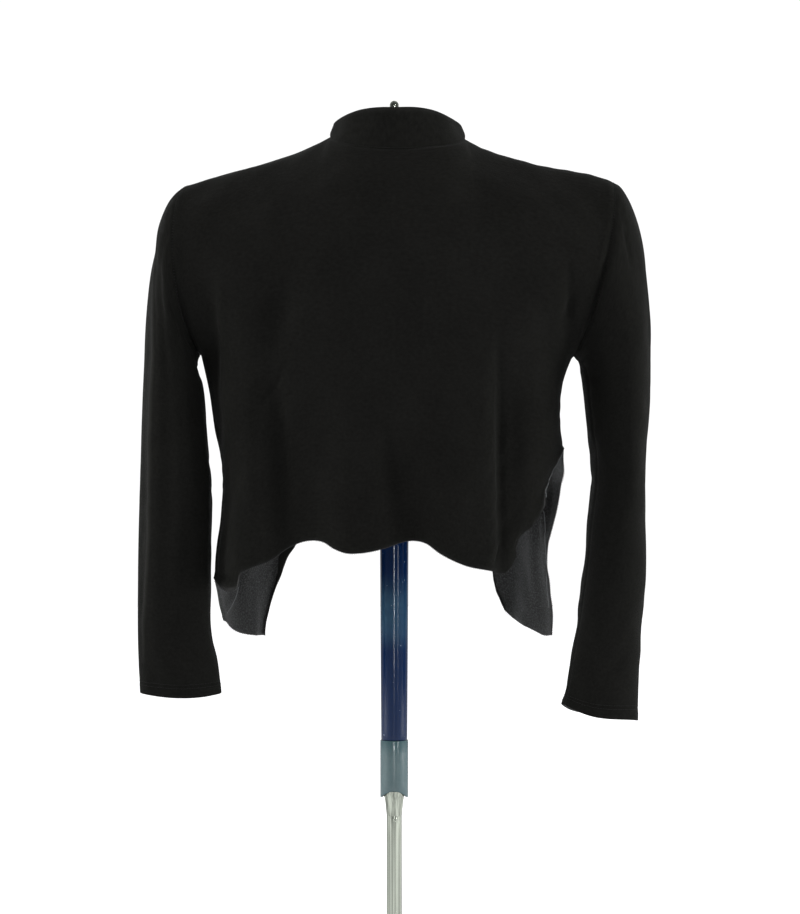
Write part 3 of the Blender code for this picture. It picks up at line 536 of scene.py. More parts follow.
collar_seam = np.vstack([front_left_net[1:COLLAR_DOWN + 1, -1][::-1], even(NECKLINE, NECK_STEPS),
                         front_right_net[1:COLLAR_DOWN + 1, -1]])
collar_net = collar_grid(collar_seam)
print("collar net", collar_net.shape[:2])

# %% [markdown]
# ## Finer cloth
# The nets above are coarse. Reading between their rows and columns gives a net with points about 3 mm apart,
# fine enough for small creases. Sewn edges are laid exactly on each other, so that no seam gapes.

# %% Read between the rows and columns
FINER_DOWN = 6
FINER_ACROSS = 5


def finer(net, down, across, closed=False):
    """A net with more rows and columns on the same smooth surface."""
    rows = read_between(net, np.linspace(0, len(net) - 1, (len(net) - 1) * down + 1))
    turned_net = rows.transpose(1, 0, 2)
    count = len(turned_net)
    if closed:
        wrapped = np.concatenate([turned_net[-3:], turned_net, turned_net[:4]])
        at = 3 + np.arange(count * across) / across
        return read_between(wrapped, at).transpose(1, 0, 2)
    at = np.linspace(0, count - 1, (count - 1) * across + 1)
    return read_between(turned_net, at).transpose(1, 0, 2)


cloth = {
    "back": finer(back_net, FINER_DOWN, FINER_ACROSS),
    "front_left": finer(front_left_net, FINER_DOWN, FINER_ACROSS),
    "front_right": finer(front_right_net, FINER_DOWN, FINER_ACROSS),
    "sleeve_left": finer(rings_left, FINER_DOWN, FINER_DOWN, closed=True),
    "sleeve_right": finer(rings_right, FINER_DOWN, FINER_DOWN, closed=True),
    "collar": finer(collar_net, 8, FINER_DOWN)}
for name, net in cloth.items():
    print(name, net.shape[0] * net.shape[1], "points")

# %% Turn the sleeves a little
# How far each sleeve turns about its own length, in degrees. It keeps its width.
SLEEVE_TURNS = {"sleeve_left": 10, "sleeve_right": 13}
TURN_STARTS = 14        # rows below the armhole
TURN_ROWS = 40          # rows until the turn is whole
for name, degrees in SLEEVE_TURNS.items():
    net = cloth[name]
    share = np.clip((np.arange(len(net)) - TURN_STARTS) / TURN_ROWS, 0, 1)[:, None]
    angle = np.radians(degrees) * eased(share)
    middle = net.mean(axis=1, keepdims=True)
    off = net - middle
    turned_x = middle[..., 0] + off[..., 0] * np.cos(angle) - off[..., 1] * np.sin(angle)
    net[..., 1] = middle[..., 1] + off[..., 0] * np.sin(angle) + off[..., 1] * np.cos(angle)
    low = net[..., 0].min(axis=1, keepdims=True)
    wide = net[..., 0].max(axis=1, keepdims=True) - low
    from_low = turned_x - turned_x.min(axis=1, keepdims=True)
    net[..., 0] = low + wide * from_low / from_low.max(axis=1, keepdims=True)

# %% Lay sewn edges on each other
ARM = ARMHOLE_STEPS * FINER_DOWN
SEAM_END = ARM + SEAM_STEPS * FINER_DOWN
BACK_END = SEAM_END + SLIT_STEPS * FINER_DOWN
SHOULDER = SHOULDER_STEPS * FINER_ACROSS
EASE = (1, 0.8, 0.6, 0.4, 0.25, 0.12)


def lay_side(net, column, rows, target):
    """Move a side edge onto a seam line, and ease the columns beside it along."""
    shift = target - net[rows, column]
    inward = 1 if column == 0 else -1
    for step, share in enumerate(EASE):
        net[rows, column + inward * step] += shift * share


def lay_top(net, columns, target):
    """Move part of the top edge onto a seam line, and ease the rows below it along."""
    shift = target - net[0, columns]
    for step, share in enumerate(EASE):
        net[step, columns] += shift * share


def front_half(ring):
    """The front half of an armhole, from the shoulder down to the armpit."""
    return np.roll(ring[::-1], 1, axis=0)[:ARM + 1]


armhole = slice(0, ARM + 1)
for side, column in (("left", 0), ("right", -1)):
    ring = cloth["sleeve_" + side][0]
    lay_side(cloth["back"], column, armhole, ring[:ARM + 1])
    lay_side(cloth["front_" + side], 0, armhole, front_half(ring))
left_sewn = slice(ARM, BACK_END + 1)
right_sewn = slice(ARM, SEAM_END + 1)
lay_side(cloth["front_left"], 0, left_sewn, cloth["back"][left_sewn, 0])
lay_side(cloth["front_right"], 0, right_sewn, cloth["back"][right_sewn, -1])
lay_top(cloth["front_left"], slice(0, SHOULDER + 1), cloth["back"][0, :SHOULDER + 1])
lay_top(cloth["front_right"], slice(0, SHOULDER + 1), cloth["back"][0, ::-1][:SHOULDER + 1])


# %% Lay the hems and the raw edge of the slit
# Raw edge of the back at the right slit: x, y, z. It was cut by hand, so it wanders.
RIGHT_RAW_EDGE = [
    (-175.6, 2, 522), (-169.8, 10, 510.9), (-161.6, 19, 494.4), (-155.4, 27, 477.3),
    (-154.4, 31, 465.7), (-146, 39, 448.5), (-139.5, 43.5, 439.8), (-132.6, 47, 435.4),
    (-124.6, 53, 421.5), (-124.4, 55, 411.2), (-118.2, 59.5, 400.2), (-112.5, 62, 394.5)]
HEM_EASE = (1, 0.9, 0.78, 0.64, 0.5, 0.36, 0.24, 0.14, 0.07, 0.03)


def lay_hem(net, hem):
    """Bring the last row to a hem's height, and ease the rows above it along."""
    shift = curve_at(hem, 0, net[-1, :, 0])[:, 2] - net[-1, :, 2]
    shift[[0, -1]] = 0
    for step, share in enumerate(HEM_EASE):
        net[-1 - step, :, 2] += shift * share


slit_rows = np.arange(SEAM_END, BACK_END + 1)
raw_edge = curve_through(RIGHT_RAW_EDGE, np.linspace(0, 1, len(slit_rows)))
step = np.arange(len(slit_rows))
cut_wander = np.sin(step * 1.9) + 0.6 * np.sin(step * 0.83 + 1)
raw_edge[:, 0] += 0.55 * cut_wander * np.sin(np.pi * np.linspace(0, 1, len(slit_rows)))**0.5
lay_side(cloth["back"], -1, slit_rows, raw_edge)
for name, line in (("back", BACK_HEM), ("front_left", LEFT_FRONT_HEM), ("front_right", RIGHT_FRONT_HEM)):
    lay_hem(cloth[name], line)
armhole_steps = np.linalg.norm(np.diff(cloth["sleeve_left"][0], axis=0), axis=1)
print("armhole seam", round(armhole_steps.sum()), "mm")

# %% [markdown]
# A raw edge of jersey rolls up on itself. The fronts' open edges roll towards the reverse below the waist, so
# a narrow band of the black face shows beside the grey. The left one is rolled wider, most of all just under
# the back's hem.

# %% Roll the open edges
def roll_edge(net, outward, radius, turn, flat_run, start, full):
    """Roll a front's open edge towards its reverse, more and more between two heights."""
    normal = surface_normals(net)
    if np.dot(normal[len(net) // 2, net.shape[1] // 2], outward) < 0:
        normal = -normal
    rolled = net.copy()
    for row in range(len(net)):
        z = net[row, -1, 2]
        share = np.clip((start - z) / (start - full), 0, 1)
        if share <= 0:
            continue
        share = eased(share)
        step = np.linalg.norm(np.diff(net[row], axis=0), axis=1)
        from_edge = np.concatenate([np.cumsum(step[::-1])[::-1], [0]])
        towards = unit(net[row, -1] - net[row, -7])
        out = unit(normal[row, -7])
        length = share * (turn * radius + np.interp(z, flat_run[0], flat_run[1]))
        reach = radius * math.sin(min(length / radius, math.pi / 2))
        begin = net[row, -1] - towards * reach
        along = length - from_edge
        angle = np.clip(along / radius, 0, turn)
        left_over = np.clip(along - turn * radius, 0, None)
        curl = (towards * (radius * np.sin(angle) + left_over * math.cos(turn))[:, None]
                - out * (radius * (1 - np.cos(angle)) + left_over * math.sin(turn))[:, None])
        shift = (length - reach) * np.exp(-(np.clip(-along, 0, None) / 24)**2)
        drawn = net[row] + towards * shift[:, None]
        rolled[row] = np.where(along[:, None] > 0, begin + curl, drawn)
    return rolled


# Where the left front's open edge hangs: height, x
LEFT_EDGE_HANGS = ([324, 347, 366, 387, 407, 418, 450],
                   [141, 136.4, 130.5, 121, 113, 105, 96.5])
LEFT_RUN = ([345, 378, 392, 412, 430], [0.2, 0.6, 2.4, 9, 10])
RIGHT_RUN = ([345, 430], [0, 0])
hang = cloth["front_left"]
low = hang[:, -1, 2] < 450
sideways = np.where(low, np.interp(hang[:, -1, 2], *LEFT_EDGE_HANGS) - hang[:, -1, 0], 0)
across_share = np.linspace(0, 1, hang.shape[1])**2
hang[..., 0] += sideways[:, None] * across_share[None, :]
cloth["front_left"] = roll_edge(hang, (0.4, -1, 0), 2.5, 2.9, LEFT_RUN, 560, 440)
hang = cloth["front_right"]
cloth["front_right"] = roll_edge(hang, (-0.4, -1, 0), 2.2, 2.2, RIGHT_RUN, 560, 440)
print("open edges rolled")

# %% Turn back the strip beside the right slit
# Ridge where the right front turns forward beside its slit: height, x
SLIT_RIDGE = ([331, 356, 382, 408, 424, 448, 466, 477, 494, 511, 520],
              [-163.8, -164.1, -161.2, -160.3, -159.4, -158.6, -156.8, -157, -162.5, -170.5, -175])
hang = cloth["front_right"]
beyond = np.clip(np.interp(hang[..., 2], *SLIT_RIDGE) - hang[..., 0], 0, None)
fade = np.clip((508 - hang[..., 2]) / 22, 0, 1)
fade *= np.clip((hang[..., 2] - 418) / 10, 0, 1)
hang[..., 1] -= 1.9 * beyond * fade
print("strip turned by up to", round(float((beyond * fade).max()), 1), "mm")

# %% [markdown]
# Where two pieces are sewn, the cloth passes smoothly over the seam, so both edges take the same normal. The
# normals also say which way is out, which the wall, the folds and the seams all need.

# %% Outward normals, shared at the seams
OUTWARD = {"back": (0, 1, 0), "front_left": (0.4, -1, 0), "front_right": (-0.4, -1, 0),
           "sleeve_left": (1, 0, 0), "sleeve_right": (-1, 0, 0), "collar": (0, 1, 0)}


def outward_normals(name, net):
    """Normals of a piece, pointing out of the garment."""
    closed = name.startswith("sleeve")
    normals = surface_normals(net, closed)
    middle = (net.shape[0] // 2, 0 if closed else net.shape[1] // 2)
    if np.dot(normals[middle], OUTWARD[name]) < 0:
        normals = -normals
    return normals


def meet(one, one_edge, other, other_edge):
    """Average two edges' normals, unless the cloth turns back there."""
    a = one[one_edge]
    b = other[other_edge]
    together = np.sum(a * b, axis=-1, keepdims=True) > 0.2
    mean = unit(a + b)
    one[one_edge] = np.where(together, mean, a)
    other[other_edge] = np.where(together, mean, b)


def seam_normals():
    """Normals of all six pieces, the same on both sides of each seam."""
    out = {name: outward_normals(name, net) for name, net in cloth.items()}
    front_edge = np.r_[0, np.arange(2 * ARM - 1, ARM - 1, -1)]
    shoulder = slice(0, SHOULDER + 1)
    far_shoulder = np.arange(out["back"].shape[1] - 1, out["back"].shape[1] - SHOULDER - 2, -1)
    meet(out["back"], (0, shoulder), out["front_left"], (0, shoulder))
    meet(out["back"], (0, far_shoulder), out["front_right"], (0, shoulder))
    meet(out["back"], (left_sewn, 0), out["front_left"], (left_sewn, 0))
    meet(out["back"], (right_sewn, -1), out["front_right"], (right_sewn, 0))
    for sleeve, column, front in (("sleeve_left", 0, "front_left"), ("sleeve_right", -1, "front_right")):
        meet(out["back"], (armhole, column), out[sleeve], (0, armhole))
        meet(out[front], (armhole, 0), out[sleeve], (0, front_edge))
        out["back"][armhole, column] = out[sleeve][0, armhole]
    return out


normals = seam_normals()

# %% [markdown]
# ## How far each point is from an edge
# Seams are drawn in by their thread, and cut edges of jersey curl. Both need to know how far each point is
# from the piece's edges, measured along the cloth.

# %% Distances along the cloth
def lengths_along(net, axis):
    """Mean distance along the cloth from the first row or column, in millimetres."""
    steps = np.linalg.norm(np.diff(net, axis=axis), axis=-1).mean(axis=1 - axis)
    return np.concatenate([[0], np.cumsum(steps)])


down_of = {name: lengths_along(net, 0) for name, net in cloth.items()}
across_of = {name: lengths_along(net, 1) for name, net in cloth.items()}
for name in cloth:
    print(name, "about", round(across_of[name][-1]), "by", round(down_of[name][-1]), "mm")


def from_edges(name):
    """Distances of every point from the top, the bottom, the first and the last column."""
    down = down_of[name][:, None] + 0 * across_of[name][None, :]
    across = across_of[name][None, :] + 0 * down_of[name][:, None]
    return down, down_of[name][-1] - down, across, across_of[name][-1] - across


def raw_distance(name):
    """Distance from the nearest cut edge."""
    top, bottom, first, last = from_edges(name)
    rows = np.arange(cloth[name].shape[0])[:, None]
    if name == "back":
        return np.minimum(bottom, np.where(rows >= SEAM_END, last, 999))
    if name.startswith("front"):
        end = BACK_END if name == "front_left" else SEAM_END
        return np.minimum(bottom, np.where(rows >= end, first, 999))
    if name == "collar":
        return bottom
    return np.full(top.shape, 999)


def sewn_distance(name):
    """Distance from the nearest seam."""
    top, _, first, last = from_edges(name)
    rows = np.arange(cloth[name].shape[0])[:, None]
    if name == "back":
        return np.minimum(np.minimum(top, first), np.where(rows < SEAM_END, last, 999))
    if name.startswith("front"):
        end = BACK_END if name == "front_left" else SEAM_END
        return np.minimum(np.minimum(top, last), np.where(rows < end, first, 999))
    return top


raw = {name: raw_distance(name) for name in cloth}
sewn = {name: sewn_distance(name) for name in cloth}

# %% [markdown]
# ## Small creases, placed one by one
# Each crease is a short line of points with a width and a depth. It presses the cloth in, or lifts it where
# the depth is negative, and it fades at both ends. The lines are uneven, as they are on real jersey that has
# hung for a while, and the fronts that the picture hides have their own.

# %% How a crease presses the cloth
def crease(across, down, path, width, depth):
    """How far a crease along a path presses each point."""
    line = curve_through(path, np.linspace(0, 1, 3))
    length = np.linalg.norm(np.diff(line, axis=0), axis=1).sum()
    count = max(6, int(length / (0.4 * width)))
    shares = np.linspace(0, 1, count)
    press = np.zeros(across.shape)
    for (a, b), share in zip(curve_through(path, shares), shares):
        fade = np.sin(np.pi * (0.06 + 0.88 * share))**0.8
        near = np.exp(-((across - a)**2 + (down - b)**2) / width**2)
        press = np.maximum(press, fade * near)
    return press * depth


# %% Creases of the back: points of (x, z), width, depth
BACK_CREASES = [
    ([(103, 621), (119, 587), (149, 552)], 2.8, 2),
    ([(99, 582), (115, 566), (126, 548)], 4.5, 1.2),
    ([(118, 604), (131, 590), (150, 574)], 5, 0.9),
    ([(176, 700), (175, 640), (174, 560), (171, 500)], 4.2, -1.6),
    ([(184, 690), (184, 640), (182, 585)], 6, 1.6),
    ([(104, 705), (112, 660), (124, 600)], 13, 1.8),
    ([(150, 610), (146, 520), (147, 420)], 7, -1.1),
    ([(118, 575), (115, 490), (111, 418)], 9, 6.2),
    ([(74, 570), (72, 500), (68, 432)], 18, 2.2),
    ([(12, 548), (5, 500), (-4, 440)], 7, 2.6),
    ([(22, 530), (20, 490), (13, 436)], 8, -0.9),
    ([(-104.5, 640), (-106, 560), (-107.5, 480), (-109, 404)], 4, 2.4),
    ([(-100, 620), (-100.5, 520), (-101, 410)], 4.5, -1.2),
    ([(-120, 600), (-124, 520), (-120, 430)], 9, 1.1),
    ([(-176, 705), (-178, 660), (-180, 622)], 3.5, 1.8),
    ([(-168, 700), (-168, 650), (-166, 600)], 6, -1),
    ([(-150, 590), (-158, 560), (-171, 540)], 6, 1),
    ([(66, 470), (44, 467), (18, 472)], 2.6, 1.2),
    ([(52, 457), (28, 452), (-4, 455), (-24, 449)], 3, 1.3),
    ([(36, 478), (12, 481), (-12, 476)], 2.8, 1),
    ([(-52, 478), (-74, 474), (-98, 468)], 2.8, 0.8),
    ([(-60, 462), (-80, 463), (-96, 456)], 3, 0.7),
    ([(-20, 508), (-44, 504), (-66, 509)], 3.2, 0.6),
    ([(60, 530), (42, 526), (28, 529)], 3.4, 0.5),
    ([(190, 668), (176, 662), (158, 661)], 5, 1),
    ([(-178, 662), (-164, 655), (-146, 653)], 5, 1),
    ([(168, 745), (140, 728), (112, 722)], 9, 0.9),
    ([(-176, 748), (-150, 730), (-122, 722)], 9, 0.9),
    ([(48, 812), (34, 790), (26, 764)], 9, 0.7),
    ([(-50, 812), (-40, 792), (-30, 762)], 9, 0.7),
    ([(30, 690), (10, 684), (-14, 688)], 7, 0.5),
    ([(-40, 640), (-60, 632), (-84, 634)], 7, 0.5),
    ([(70, 650), (52, 640), (30, 641)], 7, 0.5),
    ([(-86, 590), (-70, 560), (-62, 520)], 10, 0.8),
    ([(160, 500), (166, 460), (170, 420)], 6, 1.2),
    ([(179, 389.5), (170, 388), (160, 384.5)], 2.4, 3.4),
    ([(176, 440), (178.5, 404), (179, 391)], 2.8, -2.4)]

# %% Creases of the fronts: points of (x, z), width, depth
LEFT_FRONT_CREASES = [
    ([(112, 760), (118, 690), (116, 600)], 10, 1.4),
    ([(160, 650), (164, 560), (160, 460), (158, 350)], 6, 2),
    ([(136, 560), (140, 480), (144, 350)], 6, -1.6),
    ([(108, 540), (112, 470), (124, 400)], 7, 1.6),
    ([(186, 672), (170, 664), (150, 668)], 5, 1.1),
    ([(180, 540), (166, 524), (152, 518)], 5, 0.9),
    ([(168, 384), (172, 364), (180, 346)], 3, 1.2),
    ([(150, 394), (152, 370), (150, 336)], 4.5, -1.2)]
RIGHT_FRONT_CREASES = [
    ([(-114, 760), (-120, 690), (-116, 610)], 10, 1.4),
    ([(-150, 640), (-152, 560), (-148, 470), (-150, 350)], 6, 2),
    ([(-134, 560), (-132, 480), (-136, 360)], 6, -1.5),
    ([(-116, 500), (-120, 440), (-124, 372)], 6, 1.5),
    ([(-178, 668), (-162, 660), (-140, 664)], 5, 1.1),
    ([(-166, 470), (-158, 430), (-160, 370)], 5, 1.6),
    ([(-156.8, 470), (-158.6, 448), (-160, 422)], 2.6, 2.2),
    ([(-136, 448), (-139, 404), (-141, 362)], 5, -2)]

# %% Creases of the sleeves: points of (degrees round the sleeve, z), width, depth
# The left sleeve was once pressed flat. Its pressed line stands up, and a painted highlight makes the colour
# paler along its ridge.
PRESSED_LINE = [
    (34, 742), (37, 715), (40, 680), (43, 614), (43, 551), (42, 489), (43, 428),
    (38, 366), (27, 304)]
LEFT_SLEEVE_CREASES = [
    (PRESSED_LINE, 3.4, -2.4),
    ([(24, 700), (26, 560), (26, 420), (24, 320)], 5, 0.8),
    ([(64, 730), (70, 600), (74, 480), (72, 360)], 9, 2.2),
    ([(118, 700), (124, 600), (126, 480)], 9, 1.5),
    ([(96, 560), (104, 470), (100, 350)], 8, 1),
    ([(150, 560), (140, 470), (146, 350)], 6, -1),
    ([(160, 545), (128, 532), (100, 530)], 5, 0.9),
    ([(165, 500), (135, 510), (110, 506)], 5, 0.8),
    ([(160, 470), (132, 462), (108, 468)], 5, 0.7),
    ([(30, 480), (60, 470), (92, 476)], 6, 0.6),
    ([(240, 690), (250, 580), (246, 450)], 8, 1.8),
    ([(300, 640), (306, 520), (300, 380)], 8, 1.5),
    ([(200, 520), (230, 506), (262, 510)], 6, 1.2),
    ([(210, 470), (240, 480), (275, 474)], 6, 1),
    ([(270, 420), (276, 360), (270, 300)], 7, -1.2)]
RIGHT_SLEEVE_CREASES = [
    ([(48, 765), (58, 735), (64, 700)], 4, 1.6),
    ([(66, 770), (76, 745), (82, 712)], 4, 1.3),
    ([(32, 700), (34, 640), (32, 590)], 4.5, -1.8),
    ([(20, 690), (22, 640), (20, 580)], 4, 1.8),
    ([(128, 690), (134, 640), (140, 590)], 8, 1.6),
    ([(84, 640), (88, 540), (84, 420)], 12, -1),
    ([(150, 540), (126, 520), (100, 516)], 6, 1.2),
    ([(164, 505), (136, 500), (106, 492)], 5, 0.9),
    ([(158, 470), (128, 462), (98, 468)], 6, 0.8),
    ([(60, 380), (86, 366), (112, 370)], 8, 0.6),
    ([(240, 700), (248, 590), (244, 460)], 8, 1.7),
    ([(298, 650), (304, 520), (298, 390)], 8, 1.5),
    ([(205, 530), (232, 514), (262, 520)], 6, 1.2),
    ([(212, 480), (240, 490), (272, 482)], 6, 1)]

# %% [markdown]
# Jersey is never quite flat between its folds. A coarse grid of seeded random heights, read smoothly, gives
# the slow unevenness that makes the light mottle over the black cloth.

# %% Slow unevenness
def unevenness(name, size, seed):
    """Gentle random heights over a piece, in features of about the given size."""
    random = np.random.default_rng(seed)
    down = down_of[name]
    across = across_of[name]
    lattice = random.normal(size=(int(down[-1] / size) + 3, int(across[-1] / size) + 3))
    rows = read_between(lattice, down / size)
    return read_between(rows.T, across / size).T


def closing(name):
    """Nought where a sleeve's first and last columns meet, and one elsewhere."""
    across = across_of[name]
    near = np.minimum(across, across[-1] - across)
    return np.clip(near / 14, 0, 1)[None, :]


# %% All the creases of a piece
CREASES = {"back": BACK_CREASES, "front_left": LEFT_FRONT_CREASES,
           "front_right": RIGHT_FRONT_CREASES, "sleeve_left": LEFT_SLEEVE_CREASES,
           "sleeve_right": RIGHT_SLEEVE_CREASES, "collar": []}
ROUND_SHARE = 0.55      # a crease that runs round a sleeve: millimetres for each degree


def sleeve_crease(name, path, width, depth):
    """A crease of a sleeve, on a path of degrees round it and height."""
    net = cloth[name]
    down = net[..., 2]
    scale = np.linalg.norm(np.diff(net, axis=1), axis=-1).sum(axis=1)[:, None] / 360
    across = np.arange(net.shape[1])[None, :] * 360 / net.shape[1] * scale
    points = np.asarray(path, float)
    if np.ptp(points[:, 0]) > np.ptp(points[:, 1]) * 0.5:
        return crease(across, down, points * (ROUND_SHARE, 1), width, depth)
    order = np.argsort(points[:, 1])
    run = np.interp(down, points[order, 1], points[order, 0])
    return crease(across - run * scale, down, points * (0, 1), width, depth)


def crease_depth(name):
    """How far all the creases of a piece press each point."""
    net = cloth[name]
    if name.startswith("sleeve"):
        parts = [sleeve_crease(name, *values) for values in CREASES[name]]
    else:
        parts = [crease(net[..., 0], net[..., 2], *values) for values in CREASES[name]]
    return sum(parts, np.zeros(net.shape[:2]))


# A painted highlight along the left sleeve's pressed line: a mask that makes the cloth's colour paler on its
# ridge
pressed_line_highlight = {name: np.zeros(net.shape[:2]) for name, net in cloth.items()}
pressed_line_highlight["sleeve_left"] = sleeve_crease("sleeve_left", PRESSED_LINE, 2.6, 1)
print("creases", sum(len(rows) for rows in CREASES.values()))

# %% [markdown]
# A cut edge is ragged where it was pulled about, most of all at the right slit. The backs of the armholes
# sink in, because no arm fills them. The hollow crosses the seam, so both pieces beside it get the same one.

# %% Ragged edges
def frayed(name):
    """Where a cut edge is left ragged: one at the right slit, and a little elsewhere."""
    share = np.full(cloth[name].shape[:2], 0.12)
    columns = np.arange(share.shape[1])[None, :]
    if name == "back":
        z = cloth[name][..., 2]
        near = np.clip((columns - share.shape[1] + 30) / 12, 0, 1)
        share = np.maximum(share, near * np.clip((z - 452) / 14, 0, 1) * (z < 521))
        corner_left = np.clip((26 - columns) / 8, 0, 1) * (z < 400)
        share = np.maximum(share, 0.6 * corner_left)
    if name == "front_left":
        share = share + 0.5 * np.clip((24 - columns) / 12, 0, 1)
    return np.clip(share, 0, 1)


# %% Hollow armholes
# How the back of each armhole sinks in: height, spread, depth
ARMHOLE_HOLLOWS = {"sleeve_left": (645, 60, 2.4), "sleeve_right": (690, 66, 4.4)}
HOLLOW_REACH = 5.6      # how far from the seam


def armhole_hollow(name):
    """The hollow along the back of an armhole seam, the same on both sides of it."""
    net = cloth[name]
    if name.startswith("sleeve"):
        round_it = np.arange(net.shape[1])[None, :] * 2 * np.pi / net.shape[1]
        sides = [(name, down_of[name][:, None])]
    elif name == "back":
        round_it = np.minimum(np.arange(net.shape[0])[:, None] / ARM, 1) * np.pi
        sides = [("sleeve_left", across_of[name][None, :]),
                 ("sleeve_right", (across_of[name][-1] - across_of[name])[None, :])]
    else:
        return 0
    total = np.zeros(net.shape[:2])
    for key, away in sides:
        height, spread, depth = ARMHOLE_HOLLOWS[key]
        along = np.sqrt(np.clip(np.sin(round_it), 0, 1)) * np.exp(-((net[..., 2] - height) / spread)**2)
        total += depth * along * np.exp(-(away / HOLLOW_REACH)**2)
    return total


# %% How the seams draw in
SEAM_DEPTH = 0.9
SEAM_REACH = 2.6
NECK_SEAM_SHARE = 0.2


def seam_share(name):
    """How hard the seams draw in: little at the neck, where the layers are pressed flat."""
    share = np.ones(cloth[name].shape[:2])
    if name == "back":
        share[:12, SHOULDER + 3:-SHOULDER - 3] = NECK_SEAM_SHARE
    if name == "collar":
        share[:] = NECK_SEAM_SHARE
    return share


def sewn_run(name):
    """A measure that runs along the piece's seams."""
    net = cloth[name]
    if name.startswith("sleeve"):
        return across_of[name][None, :] + 0 * net[..., 0]
    return net[..., 2] * 0.9 + net[..., 0] * 0.5


# %% Press the cloth
CURL = 0.45
CURL_REACH = 4


def press(name, seed):
    """How far each point of a piece moves outwards."""
    hold = np.clip(sewn[name] / 9, 0, 1)
    rough = 0.75 * unevenness(name, 38, seed) + 0.28 * unevenness(name, 15, seed + 50)
    if name.startswith("sleeve"):
        rough = rough * closing(name)
    ripple = np.sin(sewn_run(name) / 2.3) * np.exp(-(sewn[name] - 5)**2 / 40)
    puckers = 0.22 * ripple * np.clip(sewn[name] / 3, 0, 1)
    seam = -SEAM_DEPTH * np.exp(-(sewn[name] / SEAM_REACH)**2) * seam_share(name)
    wave = 1 + 0.5 * unevenness(name, 22, seed + 90)
    curl = CURL * wave * np.exp(-(raw[name] / CURL_REACH)**2) * (1 + 2 * frayed(name))
    return (rough - crease_depth(name)) * hold + puckers + seam + curl - armhole_hollow(name)


for seed, name in enumerate(cloth):
    cloth[name] = cloth[name] + normals[name] * press(name, seed + 3)[..., None]
    print(name, "pressed")

# %% [markdown]
# ## Turned cuffs and the collar's seam
# The cuffs are turned up once and stitched, so the cloth is double there and stands a little proud below the
# stitching. The collar's lower edge tucks just inside the neckline, as a sewn band does. Each sleeve also has
# its long seam, on the inner side.

# %% Cuffs, collar and sleeve seams
CUFF_DEPTH = 10
CUFF_PROUD = 0.45
for name in ("sleeve_left", "sleeve_right"):
    down = down_of[name]
    from_cuff = (down[-1] - down)[:, None]
    double = CUFF_PROUD / (1 + np.exp((from_cuff - CUFF_DEPTH) / 0.9))
    stitch_line = -0.45 * np.exp(-((from_cuff - CUFF_DEPTH) / 1.2)**2)
    turn = np.arange(cloth[name].shape[1]) * 360 / cloth[name].shape[1]
    from_seam = np.abs(turn - 171)[None, :] * across_of[name][-1] / 360
    long_seam = -0.7 * np.exp(-(from_seam / 1.9)**2) * np.clip(down / 12, 0, 1)[:, None]
    cloth[name] = cloth[name] + normals[name] * (double + stitch_line + long_seam)[..., None]

tuck = np.exp(-(down_of["collar"] / 2)**2)[:, None, None]
cloth["collar"] = cloth["collar"] - normals["collar"] * 0.25 * tuck
cloth["collar"][..., 2] -= 0.9 * tuck[..., 0] * (np.abs(normals["collar"][..., 2]) < 0.8)
normals = seam_normals()
print("cuff hem", CUFF_DEPTH, "mm deep")

# %% [markdown]
# ## From a net to a wall of cloth
# A piece of cloth has two faces and an edge. The wall below has an outer net, an inner net one thickness in,
# and a rounded rim that joins them. It keeps a UV map in metres, so that knitted courses have their real
# size, and an edge attribute that says where the cut edges are and how ragged.

# %% The wall's border
WALL = 1.3
RIM_ROUND = 0.35
FACE_SIDE = 0
REVERSE_SIDE = 1
EDGE_SIDE = 2


def border_loops(rows, columns, closed):
    """Point numbers along the net's borders, in the order that its faces run."""
    number = np.arange(rows * columns).reshape(rows, columns)
    if closed:
        return [np.append(number[0], number[0, 0]), np.append(number[-1], number[-1, 0])[::-1]]
    return [np.concatenate([number[0], number[1:, -1], number[-1, ::-1][1:], number[::-1, 0][1:]])]


def rim_direction(net, closed):
    """At each border point, the direction away from the cloth."""
    away = np.zeros(net.shape)
    away[0] += unit(net[0] - net[1])
    away[-1] += unit(net[-1] - net[-2])
    if not closed:
        away[:, 0] += unit(net[:, 0] - net[:, 1])
        away[:, -1] += unit(net[:, -1] - net[:, -2])
    return unit(away)


# %% Marks on the wall
def write_values(mesh, label, values):
    """A value for each point, which a material can read."""
    layer = mesh.attributes.new(label, "FLOAT", "POINT")
    layer.data.foreach_set("value", values.astype(np.float32))


def mark_seam_rims(mesh, name, rows, columns, closed, source):
    """Mark the wall's borders as sharp at the seams, so that no light line runs along them."""
    border = np.zeros((rows, columns), bool)
    border[[0, -1]] = True
    if not closed:
        border[:, [0, -1]] = True
    sewn_border = (border & (raw[name] > 4)).reshape(-1)[source]
    sewn_border[2 * rows * columns:] = False
    ends = np.zeros(2 * len(mesh.edges), np.int32)
    mesh.edges.foreach_get("vertices", ends)
    sharp = mesh.attributes.new("sharp_edge", "BOOLEAN", "EDGE")
    sharp.data.foreach_set("value", sewn_border[ends.reshape(-1, 2)].all(axis=1))


def write_uv(mesh, name, faces, source, sides, columns, closed):
    """The UV map: metres across and down the cloth, shifted a little on the rim."""
    number = source[faces]
    column = number % columns
    u = across_of[name][column] * MM
    v = down_of[name][number // columns] * MM
    if closed:
        whole = (across_of[name][-1] + across_of[name][1]) * MM
        wraps = (column.max(axis=1) - column.min(axis=1) > columns // 2)[:, None]
        u = np.where(wraps & (column < columns // 2), u + whole, u)
    rim = (sides == EDGE_SIDE)[:, None]
    shift = np.where(rim, (faces >= 2 * columns * len(down_of[name])) * 0.0008, 0)
    layer = mesh.uv_layers.new(name="cloth_metres")
    layer.uv.foreach_set("vector", np.stack([u + shift, v + shift], axis=-1).reshape(-1).astype(np.float32))


